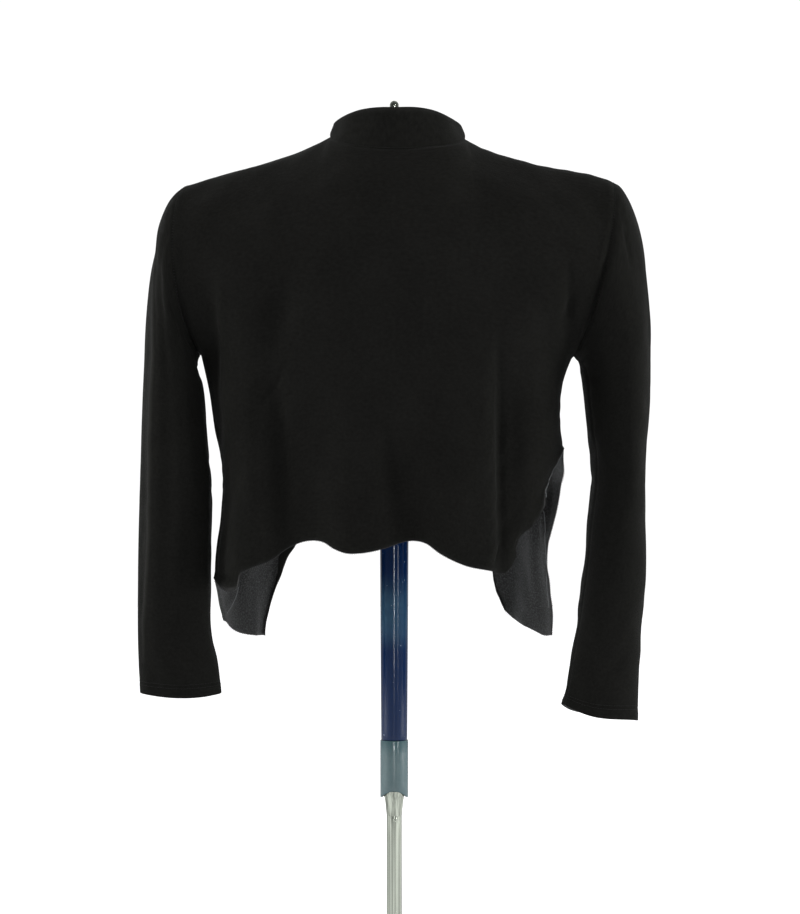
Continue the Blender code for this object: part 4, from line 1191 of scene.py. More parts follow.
# %% Build a wall
def ring_quads(rows, columns, spans):
    """Four-sided faces between the rows of a net, joined round where spans equals columns."""
    j, i = np.meshgrid(np.arange(rows - 1), np.arange(spans), indexing="ij")
    k = (i + 1) % columns
    return np.stack([j * columns + i, j * columns + k, (j + 1) * columns + k, (j + 1) * columns + i],
                    axis=-1).reshape(-1, 4)


def cloth_wall(name, net, out, finishes, closed=False):
    """A piece of cloth as a closed wall, with UVs in metres and its cut edges marked."""
    rows, columns = net.shape[:2]
    count = rows * columns
    quads = ring_quads(rows, columns, columns if closed else columns - 1)
    a, b, c = net.reshape(-1, 3)[quads[0, :3]]
    inward_first = np.dot(np.cross(b - a, c - a), out.reshape(-1, 3)[quads[0, 0]]) < 0
    away = rim_direction(net, closed)
    points = [net.reshape(-1, 3), (net - out * WALL).reshape(-1, 3)]
    middle = (net - out * WALL / 2 + away * WALL * RIM_ROUND).reshape(-1, 3)
    faces = [quads, quads[:, ::-1] + count]
    sides = [np.full(len(quads), FACE_SIDE), np.full(len(quads), REVERSE_SIDE)]
    source = [np.arange(count), np.arange(count)]
    start = 2 * count
    for loop in border_loops(rows, columns, closed):
        ring = loop[:-1]
        here = start + np.arange(len(ring))
        there = np.roll(here, -1)
        after = np.roll(ring, -1)
        points.append(middle[ring])
        source.append(ring)
        faces.append(np.stack([after, ring, here, there], axis=-1))
        faces.append(np.stack([there, here, ring + count, after + count], axis=-1))
        sides.append(np.full(2 * len(ring), EDGE_SIDE))
        start += len(ring)
    faces = np.vstack(faces)
    sides = np.concatenate(sides)
    source = np.concatenate(source)
    if inward_first:
        faces = faces[:, ::-1]
    mesh = bpy.data.meshes.new(name)
    mesh.from_pydata((np.vstack(points) * MM).tolist(), [], faces.tolist())
    mesh.polygons.foreach_set("material_index", sides.astype(np.int32))
    mesh.shade_smooth()
    mark_seam_rims(mesh, name, rows, columns, closed, source)
    write_uv(mesh, name, faces, source, sides, columns, closed)
    ragged = np.exp(-(raw[name] / 2)**2) * frayed(name)
    write_values(mesh, "cut_edge", ragged.reshape(-1)[source])
    # The mask of the painted highlight along the left sleeve's pressed line
    write_values(mesh, "painted_highlight", pressed_line_highlight[name].reshape(-1)[source])
    for finish in finishes:
        mesh.materials.append(finish)
    return add_object(name + "_cloth", mesh)

# %% [markdown]
# ## Knitted texture as a shared effect
# Jersey is rows of small loops. Seen from a distance the rows read as fine, slightly wavy level lines. The
# group below makes them from the cloth's own UV map: a wave for each course, bent by each column of loops
# and by noise, and a grain where the yarn is thicker. It puts out a height and a tone.

# %% Helpers for node groups
def new_group(name, inputs, outputs):
    """A shader node group with named value sockets."""
    group = bpy.data.node_groups.new(name, "ShaderNodeTree")
    for label, kind, value in inputs:
        socket = group.interface.new_socket(label, in_out="INPUT", socket_type=kind)
        if value is not None:
            socket.default_value = value
    for label, kind in outputs:
        group.interface.new_socket(label, in_out="OUTPUT", socket_type=kind)
    group.nodes.new("NodeGroupInput")
    group.nodes.new("NodeGroupOutput")
    return group


def calculate(tree, operation, first, second=None, clamp=False):
    """A Math node fed by sockets or plain numbers."""
    node = tree.nodes.new("ShaderNodeMath")
    node.operation = operation
    node.use_clamp = clamp
    for socket, value in zip(node.inputs, (first, second)):
        if value is None:
            continue
        if isinstance(value, (int, float)):
            socket.default_value = value
        else:
            tree.links.new(value, socket)
    return node.outputs[0]


def fitted(tree, value, factor, plus, clamp=False):
    """A value times a factor, plus a number."""
    out = calculate(tree, "MULTIPLY_ADD", value, factor, clamp)
    out.node.inputs[2].default_value = plus
    return out


def noise(tree, vector, scale, detail=2, roughness=0.5):
    """A Noise Texture's value."""
    node = tree.nodes.new("ShaderNodeTexNoise")
    node.inputs["Scale"].default_value = scale
    node.inputs["Detail"].default_value = detail
    node.inputs["Roughness"].default_value = roughness
    tree.links.new(vector, node.inputs["Vector"])
    return node.outputs["Fac"]


def stretched(tree, vector, scale):
    """The same coordinates, stretched by a Mapping node."""
    node = tree.nodes.new("ShaderNodeMapping")
    node.inputs["Scale"].default_value = scale
    tree.links.new(vector, node.inputs["Vector"])
    return node.outputs["Vector"]


# Mix has one set of sockets for each data type, and the colour ones come last
def colour_mix(tree, share, first, second):
    """A Mix node for colours, with its colour sockets picked out."""
    node = tree.nodes.new("ShaderNodeMix")
    node.data_type = "RGBA"
    shares = [s for s in node.inputs if s.name == "Factor" and s.type == "VALUE"]
    tones = [s for s in node.inputs if s.type == "RGBA"]
    for socket, value in ((shares[0], share), (tones[0], first), (tones[1], second)):
        if isinstance(value, bpy.types.NodeSocket):
            tree.links.new(value, socket)
        elif isinstance(value, (int, float)):
            socket.default_value = value
        else:
            socket.default_value = (*value, 1)
    return next(s for s in node.outputs if s.type == "RGBA")


# %% The knitted courses
FLOAT = "NodeSocketFloat"
VECTOR = "NodeSocketVector"
knit = new_group("knitted courses",
                 [("Cloth metres", VECTOR, None), ("Course", FLOAT, 0.0014), ("Column", FLOAT, 0.0012),
                  ("Wander", FLOAT, 0.5)],
                 [("Height", FLOAT), ("Tone", FLOAT)])
take = knit.nodes["Group Input"].outputs
give = knit.nodes["Group Output"].inputs
split = knit.nodes.new("ShaderNodeSeparateXYZ")
knit.links.new(take["Cloth metres"], split.inputs[0])
wander = noise(knit, stretched(knit, take["Cloth metres"], (60, 140, 1)), 1, 2)
bend = calculate(knit, "MULTIPLY", calculate(knit, "MULTIPLY", wander, take["Wander"]), 6)
column = calculate(knit, "PINGPONG", calculate(knit, "DIVIDE", split.outputs["X"], take["Column"]), 0.5)
course = calculate(knit, "DIVIDE", split.outputs["Y"], take["Course"])
phase = calculate(knit, "ADD", calculate(knit, "ADD", course, column), bend)
loop = calculate(knit, "SINE", calculate(knit, "MULTIPLY", phase, 2 * math.pi))
loop = calculate(knit, "MULTIPLY", fitted(knit, loop, 0.5, 0.5), 0.35)
streak = noise(knit, stretched(knit, take["Cloth metres"], (250, 300, 1)), 1, 2, 0.5)
height = calculate(knit, "ADD", loop, calculate(knit, "MULTIPLY", streak, 0.9))
knit.links.new(height, give["Height"])
cloudy = noise(knit, stretched(knit, take["Cloth metres"], (22, 16, 1)), 1, 3)
cloudy = calculate(knit, "MULTIPLY", cloudy, 0.35)
knit.links.new(calculate(knit, "ADD", calculate(knit, "MULTIPLY", streak, 0.65), cloudy), give["Tone"])
print("knit group", len(knit.nodes), "nodes")

# %% [markdown]
# ## The cloth's three finishes
# The face is black and matt, with a faint sheen from fine fibres that stand off it. The reverse is brushed
# and dark grey, with paler specks. A cut edge shows both yarns, so it is a lighter grey.

# %% Start a material
def new_material(name, plain=None):
    """A material with its tree and its Principled shader, whose plain values are set."""
    made = bpy.data.materials.new(name)
    made.use_nodes = True
    shader = made.node_tree.nodes["Principled BSDF"]
    for label, value in (plain or {}).items():
        shader.inputs[label].default_value = value
    return made, made.node_tree, shader


def feed(tree, shader, base, rough=None):
    """Link a colour, and a roughness that changes over the surface, to the shader."""
    tree.links.new(base, shader.inputs["Base Color"])
    if rough is not None:
        tree.links.new(rough, shader.inputs["Roughness"])


def relief(tree, shader, height, distance):
    """A Bump node that turns a height into the shader's normal."""
    bump = tree.nodes.new("ShaderNodeBump")
    bump.inputs["Distance"].default_value = distance
    bump.inputs["Strength"].default_value = 1
    tree.links.new(height, bump.inputs["Height"])
    tree.links.new(bump.outputs["Normal"], shader.inputs["Normal"])


# %% What a material reads
def object_place(tree):
    """Object coordinates, in metres."""
    return tree.nodes.new("ShaderNodeTexCoord").outputs["Object"]


def cloth_metres(tree):
    """The cloth's own UV map."""
    node = tree.nodes.new("ShaderNodeUVMap")
    node.uv_map = "cloth_metres"
    return node.outputs["UV"]


def attribute(tree, name):
    """One of the mesh's own attributes."""
    node = tree.nodes.new("ShaderNodeAttribute")
    node.attribute_name = name
    return node.outputs["Fac"]


def group_in(tree, group, values):
    """A node group in a material, with its own values."""
    node = tree.nodes.new("ShaderNodeGroup")
    node.node_tree = group
    for label, value in values.items():
        if isinstance(value, bpy.types.NodeSocket):
            tree.links.new(value, node.inputs[label])
        else:
            node.inputs[label].default_value = value
    return node.outputs

# %% Black face of the jersey
def black_jersey():
    """The face of the cloth."""
    made, tree, shader = new_material("black_jersey", {
        "Specular IOR Level": 0.08, "Sheen Weight": 0.04, "Sheen Roughness": 0.35,
        "Sheen Tint": (0.9, 0.9, 0.88, 1)})
    knitted = group_in(tree, knit, {"Cloth metres": cloth_metres(tree)})
    tone = fitted(tree, knitted["Tone"], 2.4, -0.7, True)
    base = colour_mix(tree, tone, (0.0043, 0.0044, 0.0038), (0.0096, 0.0097, 0.0087))
    # Painted highlight: the colour turns paler along the ridge of the left sleeve's pressed line
    base = colour_mix(tree, attribute(tree, "painted_highlight"), base, (0.019, 0.019, 0.0175))
    base = colour_mix(tree, attribute(tree, "cut_edge"), base, (0.06, 0.06, 0.06))
    feed(tree, shader, base, fitted(tree, knitted["Tone"], 0.15, 0.78))
    relief(tree, shader, knitted["Height"], 0.00030)
    return made

# %% Brushed grey reverse
def grey_reverse():
    """The brushed reverse of the cloth."""
    made, tree, shader = new_material("brushed_grey_reverse", {
        "Specular IOR Level": 0.2, "Sheen Weight": 0.25, "Sheen Roughness": 0.5,
        "Sheen Tint": (0.9, 0.93, 0.95, 1)})
    metres = cloth_metres(tree)
    knitted = group_in(tree, knit, {
        "Cloth metres": metres, "Course": 0.0018, "Column": 0.0022, "Wander": 0.9})
    specks = noise(tree, stretched(tree, metres, (540, 500, 1)), 1, 2, 0.6)
    speck = calculate(tree, "MULTIPLY", fitted(tree, specks, 5, -2.3, True), 0.65)
    base = colour_mix(tree, knitted["Tone"], (0.017, 0.017, 0.0165), (0.050, 0.050, 0.049))
    base = colour_mix(tree, speck, base, (0.130, 0.134, 0.137))
    feed(tree, shader, base, fitted(tree, knitted["Tone"], 0.12, 0.84))
    fuzz = calculate(tree, "ADD", knitted["Height"], calculate(tree, "MULTIPLY", specks, 0.9))
    relief(tree, shader, fuzz, 0.0005)
    return made

# %% Cut edge
def cut_edge():
    """The thin edge where the cloth was cut."""
    made, tree, shader = new_material("cut_jersey_edge", {"Roughness": 0.95})
    ends = noise(tree, cloth_metres(tree), 900, 3, 0.7)
    cut = attribute(tree, "cut_edge")
    bare = colour_mix(tree, ends, (0.010, 0.010, 0.010), (0.034, 0.034, 0.034))
    shown = calculate(tree, "MULTIPLY", cut, 8, clamp=True)
    base = colour_mix(tree, shown, (0.006, 0.006, 0.0055), bare)
    feed(tree, shader, colour_mix(tree, cut, base, (0.13, 0.13, 0.13)))
    relief(tree, shader, ends, 0.0004)
    return made


jersey_finishes = [black_jersey(), grey_reverse(), cut_edge()]
print([finish.name for finish in jersey_finishes])

# %% Make the six pieces
pieces = {}
for name, net in cloth.items():
    round_arm = name.startswith("sleeve")
    pieces[name] = cloth_wall(name, net, normals[name], jersey_finishes, closed=round_arm)
    print(name, len(pieces[name].data.polygons), "faces")

# %% [markdown]
# ## Stitches with Geometry Nodes
# A machine makes every stitch alike, so one small tree makes them all. It takes a seam line, spaces points
# along it by the stitch pitch, sets a short arched thread on each, turned along the line and standing off
# the cloth, and then makes them real with one material.

# %% Thread
def thread_finish(name, size, dark, pale, plain):
    """Sewing thread, a little shinier than the cloth, with a fine twist."""
    made, tree, shader = new_material(name, plain)
    twist = noise(tree, object_place(tree), size, 2)
    feed(tree, shader, colour_mix(tree, twist, dark, pale))
    relief(tree, shader, twist, 0.0001)
    return made


thread = thread_finish("sewing_thread", 2600, (0.006, 0.006, 0.006), (0.016, 0.016, 0.016),
                       {"Roughness": 0.6, "Specular IOR Level": 0.2})

# %% One stitch
def one_stitch(tree, start):
    """A short arched thread along X, with both ends a little sunk."""
    link = tree.links.new
    arch = tree.nodes.new("GeometryNodeCurveQuadraticBezier")
    arch.inputs["Resolution"].default_value = 4
    for end, share in (("Start", -0.5), ("End", 0.5)):
        place = tree.nodes.new("ShaderNodeCombineXYZ")
        place.inputs["Z"].default_value = -0.0002
        link(calculate(tree, "MULTIPLY", start["Stitch length"], share), place.inputs["X"])
        link(place.outputs[0], arch.inputs[end])
    crown = tree.nodes.new("ShaderNodeCombineXYZ")
    link(start["Rise"], crown.inputs["Z"])
    link(crown.outputs[0], arch.inputs["Middle"])
    round_section = tree.nodes.new("GeometryNodeCurvePrimitiveCircle")
    round_section.inputs["Resolution"].default_value = 5
    link(start["Thread radius"], round_section.inputs["Radius"])
    stitch = tree.nodes.new("GeometryNodeCurveToMesh")
    stitch.inputs["Fill Caps"].default_value = True
    link(arch.outputs["Curve"], stitch.inputs["Curve"])
    link(round_section.outputs["Curve"], stitch.inputs["Profile Curve"])
    return stitch.outputs["Mesh"]


# %% How a stitch turns
def stitch_turn(tree, start):
    """Off the cloth, along the line, and leaning a little more or less than its neighbours."""
    link = tree.links.new
    off_cloth = tree.nodes.new("GeometryNodeInputNamedAttribute")
    off_cloth.data_type = "FLOAT_VECTOR"
    off_cloth.inputs["Name"].default_value = "off_cloth"
    stand_up = tree.nodes.new("FunctionNodeAlignRotationToVector")
    stand_up.axis = "Z"
    link(next(s for s in off_cloth.outputs if s.name == "Attribute"), stand_up.inputs["Vector"])
    run = tree.nodes.new("FunctionNodeAlignRotationToVector")
    run.axis = "X"
    run.pivot_axis = "Z"
    link(stand_up.outputs["Rotation"], run.inputs["Rotation"])
    link(tree.nodes.new("GeometryNodeInputTangent").outputs["Tangent"], run.inputs["Vector"])
    random = tree.nodes.new("FunctionNodeRandomValue")
    random.data_type = "FLOAT"
    least, most = [s for s in random.inputs if s.type == "VALUE"][:2]
    link(calculate(tree, "MULTIPLY", start["Wobble"], -1), least)
    link(start["Wobble"], most)
    link(start["Seed"], random.inputs["Seed"])
    wobble = next(s for s in random.outputs if s.type == "VALUE")
    turn = tree.nodes.new("ShaderNodeCombineXYZ")
    link(calculate(tree, "ADD", start["Lean"], wobble), turn.inputs["Z"])
    as_rotation = tree.nodes.new("FunctionNodeEulerToRotation")
    link(turn.outputs[0], as_rotation.inputs[0])
    leaned = tree.nodes.new("FunctionNodeRotateRotation")
    leaned.rotation_space = "LOCAL"
    link(run.outputs["Rotation"], leaned.inputs["Rotation"])
    link(as_rotation.outputs["Rotation"], leaned.inputs["Rotate By"])
    return leaned.outputs["Rotation"]


# %% The stitch tree
def stitch_tree(finish):
    """A Geometry Nodes tree that sets stitches along a line."""
    tree = bpy.data.node_groups.new("row of stitches", "GeometryNodeTree")
    tree.interface.new_socket("Seam line", in_out="INPUT", socket_type="NodeSocketGeometry")
    for label, value in (("Pitch", 0.0028), ("Stitch length", 0.0021), ("Thread radius", 0.00028),
                         ("Rise", 0.0003), ("Lean", 0.0), ("Wobble", 0.12)):
        socket = tree.interface.new_socket(label, in_out="INPUT", socket_type=FLOAT)
        socket.default_value = value
    seed = tree.interface.new_socket("Seed", in_out="INPUT", socket_type="NodeSocketInt")
    seed.default_value = 7
    tree.interface.new_socket("Stitches", in_out="OUTPUT", socket_type="NodeSocketGeometry")
    start = tree.nodes.new("NodeGroupInput").outputs
    end = tree.nodes.new("NodeGroupOutput").inputs
    link = tree.links.new
    line = tree.nodes.new("GeometryNodeMeshToCurve")
    link(start["Seam line"], line.inputs["Mesh"])
    spaced = tree.nodes.new("GeometryNodeResampleCurve")
    spaced.mode = "LENGTH"
    link(line.outputs["Curve"], spaced.inputs["Curve"])
    link(start["Pitch"], spaced.inputs["Length"])
    sew = tree.nodes.new("GeometryNodeInstanceOnPoints")
    link(spaced.outputs["Curve"], sew.inputs["Points"])
    link(one_stitch(tree, start), sew.inputs["Instance"])
    link(stitch_turn(tree, start), sew.inputs["Rotation"])
    real = tree.nodes.new("GeometryNodeRealizeInstances")
    link(sew.outputs["Instances"], real.inputs["Geometry"])
    coat = tree.nodes.new("GeometryNodeSetMaterial")
    coat.inputs["Material"].default_value = finish
    link(real.outputs["Geometry"], coat.inputs["Geometry"])
    link(coat.outputs["Geometry"], end["Stitches"])
    return tree


stitching = stitch_tree(thread)
SOCKET = {item.name: item.identifier for item in stitching.interface.items_tree}
print("stitch tree inputs", sorted(SOCKET))

# %% Sew along lines
def sew(name, lines, finish=thread, **values):
    """Stitches along lines of (points, outward normals), turned into a plain mesh."""
    points = np.vstack([line[0] for line in lines])
    out = np.vstack([line[1] for line in lines])
    edges = []
    first = 0
    for line in lines:
        edges += [(first + n, first + n + 1) for n in range(len(line[0]) - 1)]
        first += len(line[0])
    mesh = bpy.data.meshes.new(name + "_line")
    mesh.from_pydata((points * MM).tolist(), edges, [])
    off_cloth = mesh.attributes.new("off_cloth", "FLOAT_VECTOR", "POINT")
    off_cloth.data.foreach_set("vector", out.astype(np.float32).reshape(-1))
    line_object = add_object(name + "_line", mesh)
    modifier = line_object.modifiers.new("stitches", "NODES")
    modifier.node_group = stitching
    for label, value in values.items():
        modifier[SOCKET[label.replace("_", " ")]] = value
    line_object.update_tag()
    bpy.context.view_layer.update()
    ready = line_object.evaluated_get(bpy.context.evaluated_depsgraph_get())
    made = bpy.data.meshes.new_from_object(ready)
    made.name = name
    if not made.materials:
        made.materials.append(finish)
    line_object.modifiers.remove(modifier)
    bpy.data.objects.remove(line_object)
    print(name, len(made.polygons), "faces")
    return add_object(name, made)


def line_off(name, where, lift=0.25):
    """A line of a net, lifted off the cloth, with its normals."""
    net = cloth[name][where]
    out = normals[name][where]
    return net + out * lift, out


def ring_line(name, from_cuff, lift=0.25):
    """A closed line round a sleeve, at a distance from its cuff."""
    down = down_of[name]
    row = np.array([np.interp(down[-1] - from_cuff, down, np.arange(len(down)))])
    out = read_between(normals[name], row)[0]
    line = read_between(cloth[name], row)[0] + out * lift
    return np.vstack([line, line[:1]]), np.vstack([out, out[:1]])


# %% [markdown]
# The cuffs have two rows of straight stitches from a twin needle. The armholes show short ticks of thread
# across the seam. The cut edges of the back and the fronts are bound with slanted overlock loops.

# %% Sew the cardigan
stitches = {}
for side in ("left", "right"):
    sleeve = "sleeve_" + side
    stitches[sleeve] = sew("cuff_stitches_" + side,
                           [ring_line(sleeve, CUFF_DEPTH - 0.6), ring_line(sleeve, CUFF_DEPTH + 3)],
                           Thread_radius=0.00018, Rise=0.00012)
arms = [line_off("sleeve_" + side, (1, slice(0, None))) for side in ("left", "right")]
stitches["armholes"] = sew("armhole_stitches", arms, Pitch=0.0031, Stitch_length=0.0015, Lean=1.35,
                           Wobble=0.3, Thread_radius=0.00016, Rise=0.0002)
OVERLOCK = {"Pitch": 0.0019, "Stitch_length": 0.0024, "Lean": 1.25, "Wobble": 0.22, "Thread_radius": 0.00022}
hem = line_off("back", (-1, slice(2, -2)), 0.1)
slit = line_off("back", (slice(SEAM_END + 3, None), -1), 0.1)
stitches["back"] = sew("back_edge_overlock", [hem, slit], **OVERLOCK)
left_hem = line_off("front_left", (-1, slice(1, None)), 0.1)
right_hem = line_off("front_right", (-1, slice(1, None)), 0.1)
right_slit = line_off("front_right", (slice(SEAM_END + 3, None), 0), 0.1)
stitches["fronts"] = sew("front_edge_overlock", [left_hem, right_hem, right_slit], **OVERLOCK)

# %% [markdown]
# Where the reverse shows, two edges carry a paler line of overlocking: the right front's slit, down its
# ridge, and the folded corner of the left front.

# %% Pale overlocking on the reverse
def line_on_reverse(name, path):
    """A line over the reverse of a piece, through points of (x, z), with the reverse's normals."""
    net = cloth[name]
    line = []
    out = []
    for x, z in even(path, 40):
        row = int(np.argmin(np.abs(net[:, net.shape[1] // 4, 2] - z)))
        order = np.argsort(net[row, :, 0])
        column = int(round(float(np.interp(x, net[row, order, 0], order))))
        point = net[row, column]
        line.append(point + (x - point[0], 0, z - point[2]))
        out.append(-normals[name][row, column])
    line = np.array(line)
    out = np.array(out)
    line[:, 1] = np.convolve(np.pad(line[:, 1], 2, "edge"), np.ones(5) / 5, "valid")
    return line + out * (WALL + 0.25), out


pale_thread = thread_finish("grey_overlock_thread", 1800, (0.11, 0.115, 0.12), (0.38, 0.40, 0.41),
                            {"Roughness": 0.7})
CORNER_LINE = [(165, 375), (168, 365.5), (172.5, 356), (177, 348)]
SLIT_LINE = [
    (-156.6, 464), (-158.4, 447), (-159.2, 424), (-160, 408), (-161, 382), (-163.4, 356)]
slit_heights = cloth["back"][slit_rows, -1, 2]
high_slit = slit_rows[(slit_heights < 519) & (slit_heights > 470)]
lines = [line_on_reverse("front_left", CORNER_LINE), line_on_reverse("front_right", SLIT_LINE),
         line_off("back", (high_slit, -1), 0.2)]
stitches["pale"] = sew("reverse_overlock", lines, Pitch=0.0012, Stitch_length=0.0015, Lean=0.0, Wobble=0.35,
                       Thread_radius=0.00032, Rise=0.0003)
stitches["pale"].data.materials.clear()
stitches["pale"].data.materials.append(pale_thread)

# %% [markdown]
# ## The stand
# Every part of the post is turned, so a profile of radius and height spun round the axis gives it. The CAD
# solids have plain profiles. Here the corners are rounded, because a sharp edge never catches the light.

# %% Turn a profile
def solid(name, points, faces, finish):
    """A smooth closed piece of one finish."""
    mesh = bpy.data.meshes.new(name)
    mesh.from_pydata(points, [], faces)
    mesh.shade_smooth()
    mesh.materials.append(finish)
    return add_object(name, mesh)


def turned(name, profile, finish, sides=96):
    """A turned piece from points of (radius, height), in millimetres, from its top to its foot."""
    angle = np.linspace(0, 2 * np.pi, sides + 1)[:-1]
    points = []
    rings = []
    for radius, height in profile:
        if radius < 0.001:
            rings.append([len(points)] * sides)
            points.append((0, 0, height * MM))
            continue
        rings.append(list(range(len(points), len(points) + sides)))
        points += [(radius * MM * math.cos(a), radius * MM * math.sin(a), height * MM) for a in angle]
    faces = []
    for upper, lower in zip(rings, rings[1:]):
        for n in range(sides):
            k = (n + 1) % sides
            corners = [upper[n], lower[n], lower[k], upper[k]]
            faces.append(list(dict.fromkeys(corners)))
    return solid(name, points, faces, finish)


def arched_foot(piece, above, depth):
    """Draw the foot of a turned piece down at its two sides, so that it arches at the back and front."""
    for vertex in piece.data.vertices:
        x, y, z = vertex.co
        if z < above * MM and math.hypot(x, y) > 0.001:
            vertex.co.z -= depth * MM * (x / math.hypot(x, y))**2


def corner(radius, height, size, above=True, steps=5):
    """A rounded corner of a profile: at the top of a piece, or at its foot."""
    angles = np.linspace(90, 0, steps + 1) if above else np.linspace(0, -90, steps + 1)
    middle = height - size if above else height + size
    return [(radius - size + size * math.cos(math.radians(a)), middle + size * math.sin(math.radians(a)))
            for a in angles]


# %% [markdown]
# ## Finishes of the stand
# The post is navy gloss lacquer with fine scratches, and a pale-blue reflection is painted into its colour
# below the cardigan. The ferrule under it is satin grey plastic. The tube and the flare are chrome whose colour
# has long streaks, partly the lines of their drawing and partly painted reflection bands, and the foot is
# chrome with the rings of its spinning. The form is moulded plastic.

# %% Smudges as a shared effect
smudge = new_group("smudges", [("Place", VECTOR, None), ("Size", FLOAT, 30)],
                   [("Amount", FLOAT), ("Fine", FLOAT)])
take = smudge.nodes["Group Input"].outputs
give = smudge.nodes["Group Output"].inputs
blotch = noise(smudge, take["Place"], 1, 4, 0.65)
smudge.links.new(take["Size"], blotch.node.inputs["Scale"])
smudge.links.new(fitted(smudge, blotch, 3, -1.1, True), give["Amount"])
fine = noise(smudge, stretched(smudge, take["Place"], (900, 900, 40)), 1, 2)
smudge.links.new(fine, give["Fine"])

# %% Navy lacquer
# Where a pale-blue reflection is painted into the post's colour, and how far it spreads up and down
REFLECTION_HEIGHT = 0.352    # metres above the floor
REFLECTION_REACH = 0.034


def navy_lacquer():
    """Navy gloss lacquer, with a pale-blue reflection painted into its colour below the cardigan."""
    made, tree, shader = new_material("navy_gloss_lacquer", {"Specular IOR Level": 0.3})
    place = object_place(tree)
    marks = group_in(tree, smudge, {"Place": place, "Size": 26})
    split = tree.nodes.new("ShaderNodeSeparateXYZ")
    tree.links.new(place, split.inputs[0])
    # Painted reflection: the navy turns pale blue in a band at the height set above, broken up by the smudges
    off = calculate(tree, "ABSOLUTE", calculate(tree, "SUBTRACT", split.outputs["Z"], REFLECTION_HEIGHT))
    painted_reflection = calculate(tree, "SUBTRACT", 1.2, calculate(tree, "DIVIDE", off, REFLECTION_REACH), clamp=True)
    reflection_blotches = fitted(tree, marks["Amount"], 0.5, 0.35)
    cloudy = calculate(tree, "MULTIPLY", calculate(tree, "MULTIPLY", painted_reflection, reflection_blotches), 0.9)
    base = colour_mix(tree, cloudy, (0.0022, 0.0150, 0.061), (0.046, 0.118, 0.185))
    speck = fitted(tree, noise(tree, place, 520, 0), 30, -25.2, True)
    base = colour_mix(tree, calculate(tree, "MULTIPLY", speck, 0.7), base, (0.42, 0.52, 0.62))
    feed(tree, shader, base, fitted(tree, marks["Amount"], 0.10, 0.07))
    relief(tree, shader, marks["Fine"], 0.00002)
    return made


# %% Satin plastic of the ferrule
def grey_plastic():
    """Satin grey plastic."""
    made, tree, shader = new_material("satin_grey_plastic", {"Specular IOR Level": 0.9})
    marks = group_in(tree, smudge, {"Place": object_place(tree), "Size": 60})
    base = colour_mix(tree, marks["Amount"], (0.046, 0.096, 0.108), (0.064, 0.118, 0.128))
    feed(tree, shader, base, fitted(tree, marks["Amount"], 0.15, 0.12))
    relief(tree, shader, marks["Fine"], 0.00004)
    return made


# %% Chrome
def rings_place(tree, place):
    """The distance from the stand's axis, as a place that changes only outwards."""
    split = tree.nodes.new("ShaderNodeSeparateXYZ")
    tree.links.new(place, split.inputs[0])
    squares = [calculate(tree, "MULTIPLY", split.outputs[axis], split.outputs[axis]) for axis in "XY"]
    ring = tree.nodes.new("ShaderNodeCombineXYZ")
    tree.links.new(calculate(tree, "SQRT", calculate(tree, "ADD", *squares)), ring.inputs["X"])
    return ring.outputs[0]


def polished_chrome(name="polished_chrome", spun=False):
    """Chrome plate with faint smudges, and long streaks in its colour that are partly the lines of its drawing
    and partly painted reflection bands, or rings where it was spun.
    """
    made, tree, shader = new_material(name, {"Metallic": 1})
    place = object_place(tree)
    marks = group_in(tree, smudge, {"Place": place, "Size": 40})
    tint = (0.56, 0.60, 0.52)
    dark_band = tuple(0.26 * value for value in tint)
    if spun:
        drawn = noise(tree, rings_place(tree, place), 420, 2, 0.6)
    else:
        drawn = noise(tree, stretched(tree, place, (360, 360, 3)), 1, 2, 0.6)
    # On the tube and the flare the streaks are partly drawing lines and partly painted reflection: dark and
    # bright bands down the chrome's colour
    line = fitted(tree, drawn, 0.9 if spun else 3.2, 0.4 if spun else -1, True)
    feed(tree, shader, colour_mix(tree, line, dark_band, tint), fitted(tree, marks["Amount"], 0.10, 0.10))
    relief(tree, shader, marks["Fine"], 0.00001)
    return made


# %% Moulded plastic of the form
def moulded_plastic():
    """Dark moulded plastic with a fine grain."""
    made, tree, shader = new_material("moulded_form_plastic")
    place = object_place(tree)
    marks = group_in(tree, smudge, {"Place": place, "Size": 18})
    grain = noise(tree, place, 1400, 2)
    base = colour_mix(tree, marks["Amount"], (0.040, 0.040, 0.044), (0.062, 0.062, 0.066))
    feed(tree, shader, base, fitted(tree, grain, 0.2, 0.42))
    relief(tree, shader, grain, 0.0001)
    return made


navy = navy_lacquer()
grey = grey_plastic()
chrome = polished_chrome()
spun_chrome = polished_chrome("spun_chrome", spun=True)
form_plastic = moulded_plastic()

# %% Turn the stand's parts
def top_of(node):
    """A node's highest point, in millimetres."""
    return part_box(node)[1][2] / MM


def foot_of(node):
    """A node's lowest point, in millimetres."""
    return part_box(node)[0][2] / MM


def radius_of(node):
    """A turned node's largest radius, in millimetres."""
    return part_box(node)[1][0] / MM


